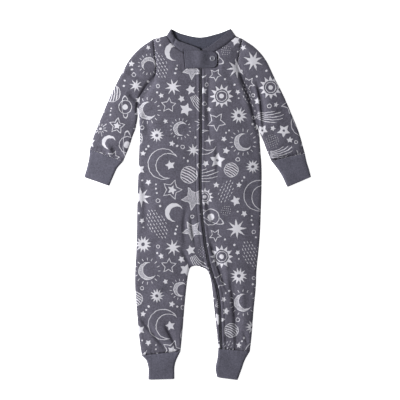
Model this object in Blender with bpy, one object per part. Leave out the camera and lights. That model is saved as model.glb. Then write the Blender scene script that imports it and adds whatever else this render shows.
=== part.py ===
"""Footless baby sleepsuit, laid flat on its back with its arms a little out from its sides.

The suit is cut from jersey: a right front that carries the crotch, a left front, one back, two
sleeves, four double cuffs, a double neckband and a chin tab over the top of a slanting coil zip.
X runs to the wearer's left, Y to the head and Z up out of the front. The back lies on Z = 0.

Every cloth piece starts as a plan, a grid of points in X and Y. Its two layers lie on each other,
LAID high in all, and turn into each other round half circles along the edges that fold. A wall of
the cloth's thickness is then taken inwards, square to the surface.
"""
import math

import bmesh
import bpy
import numpy as np

MM = 0.001                  # one millimetre in metres; all sizes below are in millimetres

# Cloth
LAID = 6.0                  # height of the suit's two layers, laid on each other
WALL = 1.2                  # jersey
CUFF_WALL = 2.0             # cuffs, jersey folded double
CUFF_LAID = 5.6
BAND_WALL = 1.8             # neckband, folded double
SEAM_GAP = 0.3              # between pieces that are sewn to each other

# Zip
GROOVE = 4.4                # between the two fronts' edges
COIL_WIDTH = 3.6
COIL_TOP = 5.9
COIL_BOTTOM = 3.5
TAPE_HALF = 11.0
TAPE_TOP = 3.2
TAPE_BOTTOM = 2.2
TAPE_INSET = 3.4            # how far the tape stays inside the leg's inner edge

# Slider and its pull
SLIDER_LENGTH = 9.0
SLIDER_WIDTH = 6.6
SLIDER_PLATE = 0.7
SLIDER_FOOT = 6.55          # height of the plate's underside, clear of the fronts
SLIDER_CORNER = 1.8
SLIDER_UP = 11.5            # from the neck seam up to the slider's middle
BRIDGE_WIDTH = 1.8
BRIDGE_LENGTH = 6.4
BRIDGE_POST = 1.3
BRIDGE_RISE = 1.6
BRIDGE_BEAM = 0.5
BRIDGE_BEVEL = 0.7
PULL_THICKNESS = 0.5
PULL_BAR = 1.0              # the end of the pull that the bridge holds down
PULL_SLOT = 2.8             # length of the slot that the bridge's lower post stands in
SLOT_CLEAR = 0.4            # from the slot's sides to the bridge
BAR_CLEAR = 0.3             # from the pull to the plate under it

# Chin tab and snap
TAB_WALL = 1.8
TAB_LEFT, TAB_RIGHT = -24.0, 36.5
TAB_MIDDLE = 271.2
TAB_SLANT = -1.4            # how far its middle line drops from the sewn end to the snap end
TAB_HALF = (17.2, 14.6)     # half its width at the sewn end and at the snap end
TAB_CORNER = 9.0
TAB_CLEAR = 0.35            # between the tab and the cloth that it lies on
TAB_LEAN = 1.6              # how far the sewn end leans
TAB_LIFT = 3.0              # over the slider and its pull
TAB_LIFT_WIDTH = 8.0
TAB_LIFT_FROM, TAB_LIFT_RUN = 252.0, 18.0
TAB_ROUND = (25, 50, 70, 90)    # degrees round its corners where it has points
SNAP_X, SNAP_Y = 28.0, 272.3

# Colours and surfaces: name, colour, roughness, metallic
FINISHES = {
    "print_jersey": ((0.105, 0.101, 0.125), 0.9, 0.0),
    "plain_jersey": ((0.112, 0.108, 0.135), 0.9, 0.0),
    "zip_cloth": ((0.05, 0.05, 0.065), 0.8, 0.0),
    "zip_coil": ((0.03, 0.03, 0.04), 0.45, 0.0),
    "zip_metal": ((0.33, 0.27, 0.17), 0.4, 1.0),
    "snap_metal": ((0.42, 0.42, 0.47), 0.4, 0.6),
}


def table(columns, *rows):
    """A short table: a dict from each column's name to its values."""
    return dict(zip(columns.split(), np.array(rows, float).T))


# The pull: half its width at distances from its head
PULL_OUTLINE = table("down half", (0, 2.6), (4.8, 2.6), (8, 2.1), (15.8, 2.3), (17, 1.0))

# The snap's ring cap, turned: a raised ring round a dish
SNAP_PROFILE = table(
    "radius height",
    (0, 0), (4.3, 0), (4.8, 0.35), (4.8, 0.8), (4.2, 1.25), (3.3, 1.3), (2.6, 1.0), (2.2, 0.45),
    (0, 0.4))

# Lines that run down the suit. v numbers the sections: 0 neck and shoulder, 1 armpit, 2 waist,
# 3 hip, 4 crotch, 5 knee, 6 ankle seam. From 0 to 1 a side line is the armhole.
RIGHT_SIDE = table(
    "v x y",
    (0, -83, 309.5), (0.22, -79.5, 280), (0.5, -79, 243), (0.65, -90, 221.5),
    (0.82, -106, 203), (1, -110, 179), (1.2, -109, 158), (1.5, -109, 124), (2, -111, 64),
    (2.5, -113, 8), (3, -114, -52), (3.5, -115, -89), (4, -117, -123),
    (4.5, -117, -157), (5, -114, -198), (5.5, -110, -245), (6, -105, -283))
LEFT_SIDE = table(
    "v x y",
    (0, 84, 309.5), (0.18, 79.5, 285), (0.36, 77, 260), (0.5, 87.5, 239),
    (0.7, 101, 203.5), (0.87, 107.5, 168.5), (1, 112.5, 146), (1.5, 117, 109),
    (2, 120, 62), (2.5, 119, 2), (3, 117, -52), (3.5, 114, -89),
    (4, 110.5, -123), (4.5, 109, -157), (5, 105, -198), (5.5, 102, -239), (6, 98, -275.5))
MIDDLE = table(
    "v x y",
    (0, -26, 284.8), (1, -18, 168), (2, -14, 63), (3, -9, -53), (3.6, -5.5, -95), (4, -4, -115))
RIGHT_INSEAM = table(
    "v x y",
    (4, -4, -115), (4.15, -12, -117.5), (4.35, -16.5, -127), (4.6, -19.5, -144),
    (5, -24, -187), (5.5, -28, -235), (6, -32, -275.5))
LEFT_INSEAM = table(
    "v x y",
    (4, -4, -115), (4.15, 11, -118), (4.35, 20, -128), (4.6, 25, -144),
    (5, 30, -187), (5.5, 35.5, -235), (6, 38.5, -271))
ZIP = table(
    "v x y",
    (-0.15, 6.5, 290), (0, 6.5, 272), (1, 6.5, 161), (1.5, 6.4, 109), (2, 5.4, 62),
    (2.5, 6.7, 2), (3, 12, -53), (3.5, 17.2, -89), (4, 23.2, -117), (4.3, 30, -138),
    (4.6, 36.5, -157), (5, 41.5, -190), (5.5, 43.2, -235), (6, 44.5, -271.5))

# Necklines, from the wearer's right to the left
NECK_FRONT_RIGHT = table(
    "v x y", (0, -58, 316), (0.25, -46, 299), (0.5, -33, 288.5), (0.75, -15, 279), (1, 6.5, 272))
NECK_FRONT_LEFT = table(
    "v x y", (0, 6.5, 272), (0.25, 23, 279.5), (0.5, 37, 288.5), (0.75, 55, 301), (1, 72, 314.5))
NECK_BACK = table(
    "v x y", (0, -58, 316), (0.25, -28, 300), (0.5, 4, 295), (0.75, 36, 299), (1, 72, 314.5))
NECK_MIDDLE = 0.6           # where the middle line leaves the right front's neckline
BACK_MIDDLE = 0.3           # and the back's
ZIP_SHARE = 0.03            # the share of a front's neckline that half the zip takes
SHOULDER_SHARES = (0.45, 0.35)  # how far across each half the lines from the neck's corners run

# Sleeves: v is 0 at the armhole and 1 at the cuff seam
RIGHT_SLEEVE_OUT = table(
    "v x y",
    (0, -83, 309.5), (0.14, -108, 292), (0.27, -128.5, 269.5), (0.4, -147, 236),
    (0.55, -164, 202), (0.7, -178, 168.5), (0.85, -192, 135), (1, -202, 103))
RIGHT_SLEEVE_IN = table(
    "v x y",
    (0, -110, 179), (0.2, -111.2, 171.5), (0.35, -112.8, 158), (0.5, -116, 142),
    (0.7, -122, 126), (0.85, -128.5, 106), (1, -139.5, 80))
LEFT_SLEEVE_OUT = table(
    "v x y",
    (0, 84, 309.5), (0.14, 109, 292), (0.27, 128, 269.5), (0.4, 144.5, 236),
    (0.55, 161.5, 202), (0.7, 176, 168.5), (0.85, 189.5, 135), (1, 201, 95))
LEFT_SLEEVE_IN = table(
    "v x y",
    (0, 112.5, 146), (0.3, 117, 133), (0.6, 123, 118), (0.8, 128.5, 103), (1, 138, 81))

# Cuffs: v is 0 at the seam and 1 at the open end. The first edge is the side away from the body.
CUFFS = {
    "sleeve_cuff_right": (
        table("v x y", (0, -202, 103), (0.35, -203.5, 86), (0.7, -207.5, 68), (1, -212.5, 50.5)),
        table("v x y", (0, -139.5, 80), (0.3, -150.5, 67.5), (0.6, -156.5, 55), (1, -165.5, 34))),
    "sleeve_cuff_left": (
        table("v x y", (0, 201, 95), (0.35, 204.5, 79), (0.7, 209, 64.5), (1, 212.5, 51)),
        table("v x y", (0, 138, 81), (0.3, 148.5, 67.5), (0.6, 157.5, 54), (1, 168, 32))),
    "leg_cuff_right": (
        table("v x y", (0, -105, -283), (0.2, -97, -291), (0.45, -93, -302), (1, -92.3, -328.5)),
        table("v x y", (0, -32, -275.5), (0.25, -39, -290), (0.5, -42.5, -301), (1, -43.3, -327))),
    "leg_cuff_left": (
        table("v x y", (0, 98, -275.5), (0.25, 89.5, -290), (0.6, 82.5, -309), (1, 75, -329)),
        table("v x y", (0, 38.5, -271), (0.3, 37, -288), (0.65, 33.5, -307), (1, 36.5, -324))),
}

# The neckband's free edge. v is the share of the way along the seam that it stands on.
FREE_FRONT_RIGHT = table(
    "v x y",
    (0, -50, 328.8), (0.1, -47, 320), (0.27, -39, 308), (0.48, -24, 301.5),
    (0.74, -7, 295.5), (1, 4.3, 290.5))
FREE_FRONT_LEFT = table(
    "v x y",
    (0, 8.7, 290.5), (0.21, 19, 293.5), (0.43, 29.5, 301), (0.72, 46, 313.5), (1, 62, 328.8))
FREE_BACK = table(
    "v x y",
    (0, -50, 328.8), (0.25, -30, 319.5), (0.48, 4, 312.8), (0.72, 37, 319.5), (1, 62, 328.8))

# Folds in the front layer: a line from one point to another, how wide it is, how far it rises
FOLDS = table(
    "x0 y0 x1 y1 width rise",
    (23, 242, 23, 73, 7, -1.0),            # soft trough beside the zip, chest to waist
    (20, -5, 31, -36, 7, -1.0),            # its end at the hip
    (27, -92, 50, -146, 7, -1.2),          # where the zip bends into the leg
    (62, -136, 66, -262, 9, -1.4),         # down the left leg
    (-95, -227, -58, -262, 8, -1.2),       # across the right shin
    (-58, -246, -36, -262, 7, -0.8),
    (113, 217, 122, 141, 7, -1.3),         # on the left sleeve beside the armhole
    (-113, 233, -92, 238, 8, -0.9),        # on the right sleeve's cap
    (-126, 206, -112, 198, 7, -0.8),
    (-176, 112, -160, 96, 8, -0.8),        # above the right cuff
    (-98, 195, -101, 167, 8, 0.7),         # swell inside the right armpit
    (88, 180, 96, 120, 10, 0.7),           # swell inside the left armpit
    (-60, 120, -62, -20, 26, 0.6),         # fullness of the right front
    (70, 100, 72, -40, 26, 0.6))           # fullness of the left front
SEAM_DIP = 0.9              # how far the cloth sinks along a seam between two pieces
SEAM_DIP_WIDTH = 4.5

# Meshes: distances of the first columns from an edge that folds, down its half circle
EDGE = (0.0, 0.88, 3.0)
CUT = (0.0,)                # the one column at an edge that is only cut
BESIDE_ZIP = (0.0, 8.0, 16.0)   # columns that carry the soft trough beside the zip
END_SHARE = 0.3             # the most of a short row that its set columns take at each end
ON_EDGE = 0.2               # a point nearer than this lies on the edge itself
CROTCH = 4.0
NECK_FADE = 0.8             # the section by which the neckline's curve has left the rows
ARMHOLE = 135.0             # its depth, straight from shoulder to armpit
ARMHOLE_COLUMNS = 9         # points along it between the set ones at its ends
CAP_FADE = 0.45             # the share of a sleeve by which the armhole's curve has left its rings


# ---------------------------------------------------------------- plan geometry

def along(line, v):
    """Points of a line at the places v: cubics through its rows, with the slopes there."""
    knots = line["v"]
    points = np.column_stack((line["x"], line["y"]))
    slopes = np.gradient(points, knots, axis=0)
    v = np.atleast_1d(np.asarray(v, float))
    i = np.clip(np.searchsorted(knots, v, side="right") - 1, 0, len(knots) - 2)
    span = (knots[i + 1] - knots[i])[:, None]
    t = (v[:, None] - knots[i][:, None]) / span
    return ((1 + 2 * t) * (1 - t) ** 2 * points[i] + t * (1 - t) ** 2 * span * slopes[i]
            + t * t * (3 - 2 * t) * points[i + 1] - t * t * (1 - t) * span * slopes[i + 1])


def edge(line, start, end, cloth_left=True, steps=40):
    """A stretch of a line as a polyline that has the cloth on its left."""
    points = along(line, np.linspace(start, end, steps))
    return points if cloth_left else points[::-1]


def from_edges(points, edges):
    """Distance of each point from the nearest edge, and the unit direction away from it."""
    starts = np.concatenate([line[:-1] for line in edges])
    spans = np.concatenate([np.diff(line, axis=0) for line in edges])
    relative = points[:, None, :] - starts
    share = np.clip((relative * spans).sum(2) / (spans * spans).sum(1), 0, 1)
    reach = relative - share[..., None] * spans
    distances = np.linalg.norm(reach, axis=2)
    nearest = distances.argmin(1)
    pick = np.arange(len(points))
    distance = distances[pick, nearest]
    inward = np.column_stack((-spans[nearest, 1], spans[nearest, 0]))
    inward /= np.linalg.norm(inward, axis=1)[:, None]
    on_edge = distance < ON_EDGE
    away = reach[pick, nearest] / np.maximum(distance, 1e-9)[:, None]
    away[on_edge] = inward[on_edge]
    return distance, away


def spread(lengths, first, count, last):
    """Shares across each row: some columns at set distances from its ends, count evenly between."""
    lengths = lengths[:, None]
    start = np.minimum(np.array(first) / lengths, END_SHARE)
    stop = 1 - np.minimum(np.array(last[::-1]) / lengths, END_SHARE)
    between = np.linspace(0, 1, count + 2)[1:-1]
    middle = start[:, -1:] + (stop[:, :1] - start[:, -1:]) * between
    return np.hstack((start, middle, stop))


# Both sides of an armhole seam have their points at the same places
ARMHOLE_PLACES = spread(np.array([ARMHOLE]), EDGE, ARMHOLE_COLUMNS, EDGE)[0]
ROWS = np.concatenate([
    ARMHOLE_PLACES, np.linspace(1, 3, 15)[1:], np.linspace(3, 4, 5)[1:],
    (4.06, 4.15, 4.28, 4.45, 4.65), np.linspace(4.85, 6, 8)])
ARMPIT_ROW = len(ARMHOLE_PLACES) - 1
RIGHT_ARMHOLE = (np.s_[1:ARMPIT_ROW, 0], np.s_[1:ARMPIT_ROW, 1])
LEFT_ARMHOLE = (np.s_[1:ARMPIT_ROW, -1], np.s_[1:ARMPIT_ROW, -2])
ANKLE = (np.s_[-1, :], np.s_[-2, :])


def block(left, right, top, shares, fade):
    """A grid of plan points between two lines, its first row bent to the curve called top.

    Each row is the straight line from left to right at its shares, plus the curve's departure
    from the straight line of the first row, times that row's fade.
    """
    straight = left[:, None] + shares[..., None] * (right - left)[:, None]
    bend = top(shares.ravel()).reshape(straight.shape)
    bend -= left[0] + shares[..., None] * (right[0] - left[0])
    return straight + fade[:, None, None] * bend


def piece_of(curve, start, end):
    """A function from a share of the way, 0 to 1, to points on one stretch of a curve."""
    return lambda share: along(curve, start + share * (end - start))


def straight(a, b):
    """A function from a share of the way, 0 to 1, to points on a straight line."""
    return lambda share: a + np.asarray(share)[:, None] * (b - a)


# ---------------------------------------------------------------- heights

def fold_heights(points):
    """Sum of soft troughs and ridges: each a bell across its line that dies away past its ends."""
    total = np.zeros(len(points))
    for x0, y0, x1, y1, width, rise in zip(*FOLDS.values()):
        span = np.array((x1 - x0, y1 - y0))
        share = np.clip((points - (x0, y0)) @ span / (span @ span), 0, 1)
        reach = np.linalg.norm(points - (x0, y0) - share[:, None] * span, axis=1)
        total += rise * np.exp(-(reach / width) ** 2)
    return total


def dip_heights(points, seams):
    """The sinking of the cloth along the seams."""
    if not seams:
        return np.zeros(len(points))
    distance, _ = from_edges(points, seams)
    return -SEAM_DIP * np.exp(-(distance / SEAM_DIP_WIDTH) ** 2)


def lay(plan, face, edges, seams=(), height=LAID, gap=0.0):
    """Lift plan points into a laid layer: outer points and the normals that point out of it.

    face is 1 on the upper layer and -1 on the lower one. Within half the height of an edge the
    layer follows a half circle round it; elsewhere the upper one carries the folds and dips,
    which are so shallow that the wall there is taken straight down.
    """
    flat = plan.reshape(-1, 2)
    face = np.broadcast_to(face, plan.shape[:-1]).ravel()
    radius = height / 2
    if edges:
        distance, away = from_edges(flat, edges)
    else:
        distance, away = np.full(len(flat), height), np.zeros((len(flat), 2))
    cosine = np.clip(1 - distance / radius, 0, 1)
    sine = np.sqrt(1 - cosine ** 2)

    relief = (face > 0) * sine * (fold_heights(flat) + dip_heights(flat, seams))
    z = radius + face * np.maximum(radius * sine, gap / 2) + relief
    normal = np.column_stack((-away * cosine[:, None], face * sine))
    return (np.column_stack((flat, z)).reshape(plan.shape[:-1] + (3,)),
            normal.reshape(plan.shape[:-1] + (3,)))


def square_rim(normals, plan, cuts):
    """Turn the normals along cut rows and columns into the upright plane of that row or column.

    The wall's rim then stands upright on the seam and keeps the seam's gap.
    """
    for line in cuts:
        run = plan[line]
        tangent = np.gradient(run, axis=0)
        turns_back = np.linalg.norm(tangent, axis=1) < 1e-3
        tangent[turns_back] = np.diff(run, axis=0, prepend=run[:1])[turns_back]
        tangent /= np.linalg.norm(tangent, axis=1)[:, None]
        turned = normals[line].copy()
        turned[:, :2] = (turned[:, :2] * tangent).sum(1)[:, None] * tangent
        normals[line] = turned / np.linalg.norm(turned, axis=1)[:, None]


# ---------------------------------------------------------------- meshes

def quads(index):
    """The four-cornered faces of a grid of vertex numbers."""
    corners = (index[:-1, :-1], index[1:, :-1], index[1:, 1:], index[:-1, 1:])
    return np.stack([corner.ravel() for corner in corners], axis=1)


def material(name):
    """The Principled material of one finish."""
    if name in bpy.data.materials:
        return bpy.data.materials[name]
    colour, roughness, metallic = FINISHES[name]
    made = bpy.data.materials.new(name)
    made.use_nodes = True
    shader = made.node_tree.nodes["Principled BSDF"]
    shader.inputs["Base Color"].default_value = (*colour, 1)
    shader.inputs["Roughness"].default_value = roughness
    shader.inputs["Metallic"].default_value = metallic
    return made


def add_object(name, mesh, finish):
    """Put a finished bmesh, in millimetres, into the scene as one named object."""
    bmesh.ops.recalc_face_normals(mesh, faces=mesh.faces)
    bmesh.ops.scale(mesh, vec=(MM, MM, MM), verts=mesh.verts)
    data = bpy.data.meshes.new(name)
    mesh.to_mesh(data)
    mesh.free()
    data.shade_smooth()
    data.set_sharp_from_angle(angle=math.radians(40))
    made = bpy.data.objects.new(name, data)
    made.data.materials.append(material(finish))
    bpy.context.scene.collection.objects.link(made)
    return made


def add_walled(name, outer, normals, faces, wall, finish):
    """A closed body from an open outer surface: the wall is taken inwards from each point.

    The inner surface is the outer one moved against its normals and turned round, and a rim
    joins the two along each edge that only one face has.
    """
    count = len(outer)
    points = np.vstack((outer, outer - wall * normals))
    sides = {(a, b) for face in faces.tolist() for a, b in zip(face, face[1:] + face[:1])}
    rim = [(b, a, a + count, b + count) for a, b in sorted(sides) if (b, a) not in sides]
    mesh = bmesh.new()
    vertices = [mesh.verts.new(point) for point in points]
    for face in [*faces.tolist(), *(faces[:, ::-1] + count).tolist(), *rim]:
        mesh.faces.new([vertices[i] for i in face])
    return add_object(name, mesh, finish)


# ---------------------------------------------------------------- body panels

def side_lines(rows):
    """The lines that cut each row: sides, the lines down from the neck's corners, inseams, zip."""
    legs = rows > CROTCH
    trunk = np.minimum(rows, CROTCH)
    fade = np.clip(1 - rows / NECK_FADE, 0, 1) ** 2
    middle = along(MIDDLE, trunk)
    right_inner, left_inner = middle.copy(), middle.copy()
    right_inner[legs] = along(RIGHT_INSEAM, rows[legs])
    left_inner[legs] = along(LEFT_INSEAM, rows[legs])
    right, left, zip_line = (along(line, rows) for line in (RIGHT_SIDE, LEFT_SIDE, ZIP))

    def neck_line(a, b, share, corner):
        line = a + share * (b - a)
        return line + fade[:, None] * (corner - line[0])

    right_neck = neck_line(right, right_inner, SHOULDER_SHARES[0], along(NECK_BACK, 0)[0])
    left_neck = neck_line(left, zip_line, SHOULDER_SHARES[1], along(NECK_BACK, 1)[0])
    return right, right_neck, right_inner, left_inner, zip_line, left_neck, left, fade


def lengths(a, b):
    """Distances between the points of two lists, pair by pair."""
    return np.linalg.norm(b - a, axis=1)


def silhouette():
    """The edges where the front and back turn into each other, cloth on their left."""
    shoulders = [
        np.array((along(NECK_BACK, 0)[0], along(RIGHT_SIDE, 0)[0])),
        np.array((along(LEFT_SIDE, 0)[0], along(NECK_BACK, 1)[0]))]
    return shoulders + [
        edge(RIGHT_SIDE, 1, 6), edge(LEFT_SIDE, 1, 6, cloth_left=False),
        edge(RIGHT_INSEAM, CROTCH, 6, cloth_left=False), edge(LEFT_INSEAM, CROTCH, 6)]


def armholes():
    """The two seams between the body and the sleeves."""
    return [edge(RIGHT_SIDE, 0, 1), edge(LEFT_SIDE, 0, 1)]


def draw_back(grid, *cuts):
    """Move the cut stretches of a grid's rows and columns inwards by half the seam's gap.

    Each cut names a stretch and the stretch beside it, which says which way inwards is.
    """
    moves = []
    for line, beside in cuts:
        run = grid[line]
        tangent = np.gradient(run, axis=0)
        square = np.column_stack((-tangent[:, 1], tangent[:, 0]))
        square /= np.linalg.norm(square, axis=1)[:, None]
        side = np.sign(((grid[beside] - run) * square).sum())
        moves.append((line, SEAM_GAP / 2 * side * square))
    for line, move in moves:
        grid[line] += move


def join_at_crotch(left_grid, right_grid, rows):
    """Vertex numbers of two grids that share a column down to the crotch and part below it."""
    left_index = np.arange(left_grid.shape[0] * left_grid.shape[1]).reshape(left_grid.shape[:2])
    right_index = np.arange(right_grid.shape[0] * right_grid.shape[1]).reshape(right_grid.shape[:2])
    right_index = right_index + left_index.size
    shared = rows <= CROTCH
    right_index[shared, 0] = left_index[shared, -1]
    return np.concatenate((quads(left_index), quads(right_index)))


def drop_unused(points, normals, faces):
    """Leave out the vertices that no face uses."""
    used, numbers = np.unique(faces, return_inverse=True)
    return points[used], normals[used], numbers.reshape(faces.shape)


def add_body_piece(name, grids, face, cuts, arm_columns):
    """A front or back from one grid, or from two that part at the crotch.

    cuts gives for each grid the stretches of its rows and columns that are cut, not folded, and
    arm_columns the column that runs down its armhole and side, where it has one. The corner at
    the armpit faces half way between the armhole and the side.
    """
    faces = quads(np.arange(grids[0][..., 0].size).reshape(grids[0].shape[:2]))
    if len(grids) == 2:
        faces = join_at_crotch(*grids, ROWS)
    points, normals = [], []
    for grid, lines, column in zip(grids, cuts, arm_columns):
        placed, facing = lay(grid, face, silhouette(), armholes(), gap=SEAM_GAP)
        square_rim(facing, grid, lines)
        if column is not None:
            around = facing[ARMPIT_ROW - 1, column] + facing[ARMPIT_ROW + 1, column]
            around[2] = 0
            facing[ARMPIT_ROW, column] = around / np.linalg.norm(around)
        points.append(placed.reshape(-1, 3))
        normals.append(facing.reshape(-1, 3))
    points, normals, faces = drop_unused(np.concatenate(points), np.concatenate(normals), faces)
    return add_walled(name, points, normals, faces, WALL, "print_jersey")


def add_body():
    right, right_neck, right_inner, left_inner, zip_line, left_neck, left, fade = side_lines(ROWS)
    corner_right, corner_left = along(NECK_BACK, 0)[0], along(NECK_BACK, 1)[0]
    zip_right = zip_line - (GROOVE / 2, 0)
    zip_left = zip_line + (GROOVE / 2, 0)

    outer_right = block(right, right_neck, straight(right[0], corner_right),
                        spread(lengths(right, right_neck), EDGE, 3, CUT), fade)
    inner_right = block(right_neck, right_inner, piece_of(NECK_FRONT_RIGHT, 0, NECK_MIDDLE),
                        spread(lengths(right_neck, right_inner), CUT, 3, EDGE), fade)
    crotch_strip = block(left_inner, zip_right,
                         piece_of(NECK_FRONT_RIGHT, NECK_MIDDLE, 1 - ZIP_SHARE),
                         spread(lengths(left_inner, zip_right), EDGE, 2, CUT), fade)
    right_front = np.concatenate((outer_right, inner_right[:, 1:]), axis=1)
    shoulder = outer_right.shape[1] - 1
    right_seam = np.concatenate((right_front[0, shoulder:], crotch_strip[0, 1:]))
    draw_back(right_front, RIGHT_ARMHOLE, ANKLE,
              (np.s_[0, shoulder + 1:], np.s_[1, shoulder + 1:]))
    draw_back(crotch_strip, ANKLE, (np.s_[0, :], np.s_[1, :]))
    neck, ankle, zip_side, arm = np.s_[0, shoulder:], np.s_[-1, :], np.s_[:, -1], np.s_[:ARMPIT_ROW, 0]
    add_body_piece("front_right", [right_front, crotch_strip], 1,
                   [(neck, ankle, arm), (np.s_[0, :], ankle, zip_side)], (0, None))

    inner_left = block(zip_left, left_neck, piece_of(NECK_FRONT_LEFT, ZIP_SHARE, 1),
                       spread(lengths(zip_left, left_neck), BESIDE_ZIP, 3, CUT), fade)
    outer_left = block(left_neck, left, straight(corner_left, left[0]),
                       spread(lengths(left_neck, left), CUT, 2, EDGE), fade)
    left_front = np.concatenate((inner_left, outer_left[:, 1:]), axis=1)
    left_seam = inner_left[0].copy()
    draw_back(left_front, LEFT_ARMHOLE, ANKLE,
              (np.s_[0, :-shoulder - 1], np.s_[1, :-shoulder - 1]))
    add_body_piece("front_left", [left_front], 1,
                   [(np.s_[0, :-shoulder], ankle, np.s_[:, 0], np.s_[:ARMPIT_ROW, -1])], (-1,))

    back_right = block(right_neck, right_inner, piece_of(NECK_BACK, 0, BACK_MIDDLE),
                       spread(lengths(right_neck, right_inner), CUT, 2, EDGE), fade)
    back_middle = block(left_inner, left_neck, piece_of(NECK_BACK, BACK_MIDDLE, 1),
                        spread(lengths(left_inner, left_neck), EDGE, 5, CUT), fade)
    back_one = np.concatenate((outer_right, back_right[:, 1:]), axis=1)
    back_two = np.concatenate((back_middle, outer_left[:, 1:]), axis=1)
    back_seam = np.concatenate((back_right[0], back_middle[0, 1:]))
    draw_back(back_one, RIGHT_ARMHOLE, ANKLE, (np.s_[0, shoulder + 1:], np.s_[1, shoulder + 1:]))
    draw_back(back_two, LEFT_ARMHOLE, ANKLE,
              (np.s_[0, :-shoulder - 1], np.s_[1, :-shoulder - 1]))
    add_body_piece("back", [back_one, back_two], -1,
                   [(neck, ankle, arm), (np.s_[0, :-shoulder], ankle, np.s_[:ARMPIT_ROW, -1])],
                   (0, -1))
    return right_seam, back_seam, left_seam


# ---------------------------------------------------------------- sleeves and cuffs

def add_tube(name, first, second, shares, start, fade, edges, seams, wall, height, finish):
    """A flattened tube between two edge lines, its first ring bent to the curve called start.

    The upper layer runs across from the first edge to the second, and the lower one back.
    """
    upper = block(first, second, start, shares, fade)
    draw_back(upper, (np.s_[0, :], np.s_[1, :]), (np.s_[-1, :], np.s_[-2, :]))
    ring = np.concatenate((upper, upper[:, -2:0:-1]), axis=1)
    face = np.ones(ring.shape[:2])
    face[:, upper.shape[1]:] = -1
    points, normals = lay(ring, face, edges, seams, height)
    square_rim(normals, ring, (np.s_[0, :], np.s_[-1, :]))
    index = np.arange(ring.shape[0] * ring.shape[1]).reshape(ring.shape[:2])
    index = np.concatenate((index, index[:, :1]), axis=1)
    return add_walled(
        name, points.reshape(-1, 3), normals.reshape(-1, 3), quads(index), wall, finish)


def add_sleeve(name, armhole, outer, inner, is_right):
    """A set-in sleeve from its armhole to its cuff seam."""
    places = np.concatenate(((0, 0.07), np.linspace(0.17, 1, 10)))
    first, second = along(outer, places), along(inner, places)
    edges = [edge(outer, 0, 1, cloth_left=is_right), edge(inner, 0, 1, cloth_left=not is_right)]
    seams = [edge(armhole, 0, 1), np.array((along(outer, 1)[0], along(inner, 1)[0]))]
    shares = spread(lengths(first, second), EDGE, ARMHOLE_COLUMNS, EDGE)
    shares[0] = ARMHOLE_PLACES
    fade = np.clip(1 - places / CAP_FADE, 0, 1) ** 2
    add_tube(name, first, second, shares, piece_of(armhole, 0, 1), fade, edges, seams, WALL,
             LAID, "print_jersey")


def add_cuff(name, outer, inner):
    """A double cuff, a short tube from its seam to its folded open end."""
    places = np.linspace(0, 1, 6)
    first, second = along(outer, places), along(inner, places)
    is_right = first[0, 0] < second[0, 0]
    edges = [edge(outer, 0, 1, cloth_left=is_right), edge(inner, 0, 1, cloth_left=not is_right)]
    shares = spread(lengths(first, second), EDGE, 2, EDGE)
    add_tube(name, first, second, shares, straight(first[0], second[0]), np.zeros(len(places)),
             edges, [], CUFF_WALL, CUFF_LAID, "plain_jersey")


# ---------------------------------------------------------------- neckband

def on_polyline(points, distances):
    """Points at set distances along a polyline."""
    run = np.concatenate(([0], np.cumsum(lengths(points[:-1], points[1:]))))
    return np.column_stack([np.interp(distances, run, axis) for axis in points.T])


def band_grid(seam, free, fold_first, fold_last, columns=4):
    """Plan points across the band, from the seam to the free edge, at each station.

    It has a station at each of the seam's points, and more where it turns round a fold.
    """
    run = np.concatenate(([0], np.cumsum(lengths(seam[:-1], seam[1:]))))
    more = [inset for inset in EDGE if fold_first] + [run[-1] - inset for inset in EDGE if fold_last]
    stations = np.unique(np.concatenate((run, more)).round(3))
    stations = stations[np.concatenate(([True], np.diff(stations) > 0.3))]
    low = on_polyline(seam, stations)
    high = along(free, stations / run[-1])
    low = low + SEAM_GAP / 2 * (high - low) / lengths(low, high)[:, None]
    share = np.linspace(0, 1, columns)[None, :, None]
    return low[:, None] + share * (high - low)[:, None]


def add_neckband(right_seam, back_seam, left_seam):
    """One double strip that lies on itself, turned over along the folds on the shoulders.

    It runs from the zip over the right front, along the back and over the left front to the zip.
    """
    right = band_grid(right_seam, FREE_FRONT_RIGHT, True, False)[::-1]
    back = band_grid(back_seam, FREE_BACK, True, True)[1:-1]
    left = band_grid(left_seam, FREE_FRONT_LEFT, False, True)
    plan = np.concatenate((right, back, left[::-1]))
    face = np.concatenate([
        np.full(grid.shape[:2], side) for grid, side in ((right, 1), (back, -1), (left, 1))])
    folds = [right[-1][::-1], left[-1]]
    points, normals = lay(plan, face, folds)
    first, last = len(right), len(plan) - len(left)
    square_rim(normals, plan, (
        np.s_[0, :], np.s_[-1, :],
        np.s_[:first - 1, 0], np.s_[first - 1:last + 1, 0], np.s_[last + 1:, 0]))
    index = np.arange(plan.shape[0] * plan.shape[1]).reshape(plan.shape[:2])
    add_walled("neckband", points.reshape(-1, 3), normals.reshape(-1, 3), quads(index), BAND_WALL,
               "plain_jersey")


# ---------------------------------------------------------------- zip

def offsets_from_zip(places, left, right, count):
    """Plan points beside the zip line: at each place, count of them from left to right of it."""
    line = along(ZIP, places)
    heading = np.gradient(line, axis=0)
    heading /= np.linalg.norm(heading, axis=1)[:, None]
    square = np.column_stack((-heading[:, 1], heading[:, 0]))
    reach = np.linspace(0, 1, count)
    across = np.reshape(left, (-1, 1)) + reach * np.reshape(right - left, (-1, 1))
    return line[:, None] + across[..., None] * square[:, None]


def add_strip(name, plan, top, bottom, finish):
    """A closed strip under a plan grid, between a top and a bottom height for each column."""
    upper = np.dstack((plan, np.broadcast_to(top, plan.shape[:2])))
    down = np.zeros(upper.shape)
    down[..., 2] = np.broadcast_to(np.subtract(top, bottom), plan.shape[:2])
    index = np.arange(plan[..., 0].size).reshape(plan.shape[:2])
    return add_walled(name, upper.reshape(-1, 3), down.reshape(-1, 3), quads(index), 1.0, finish)


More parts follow.
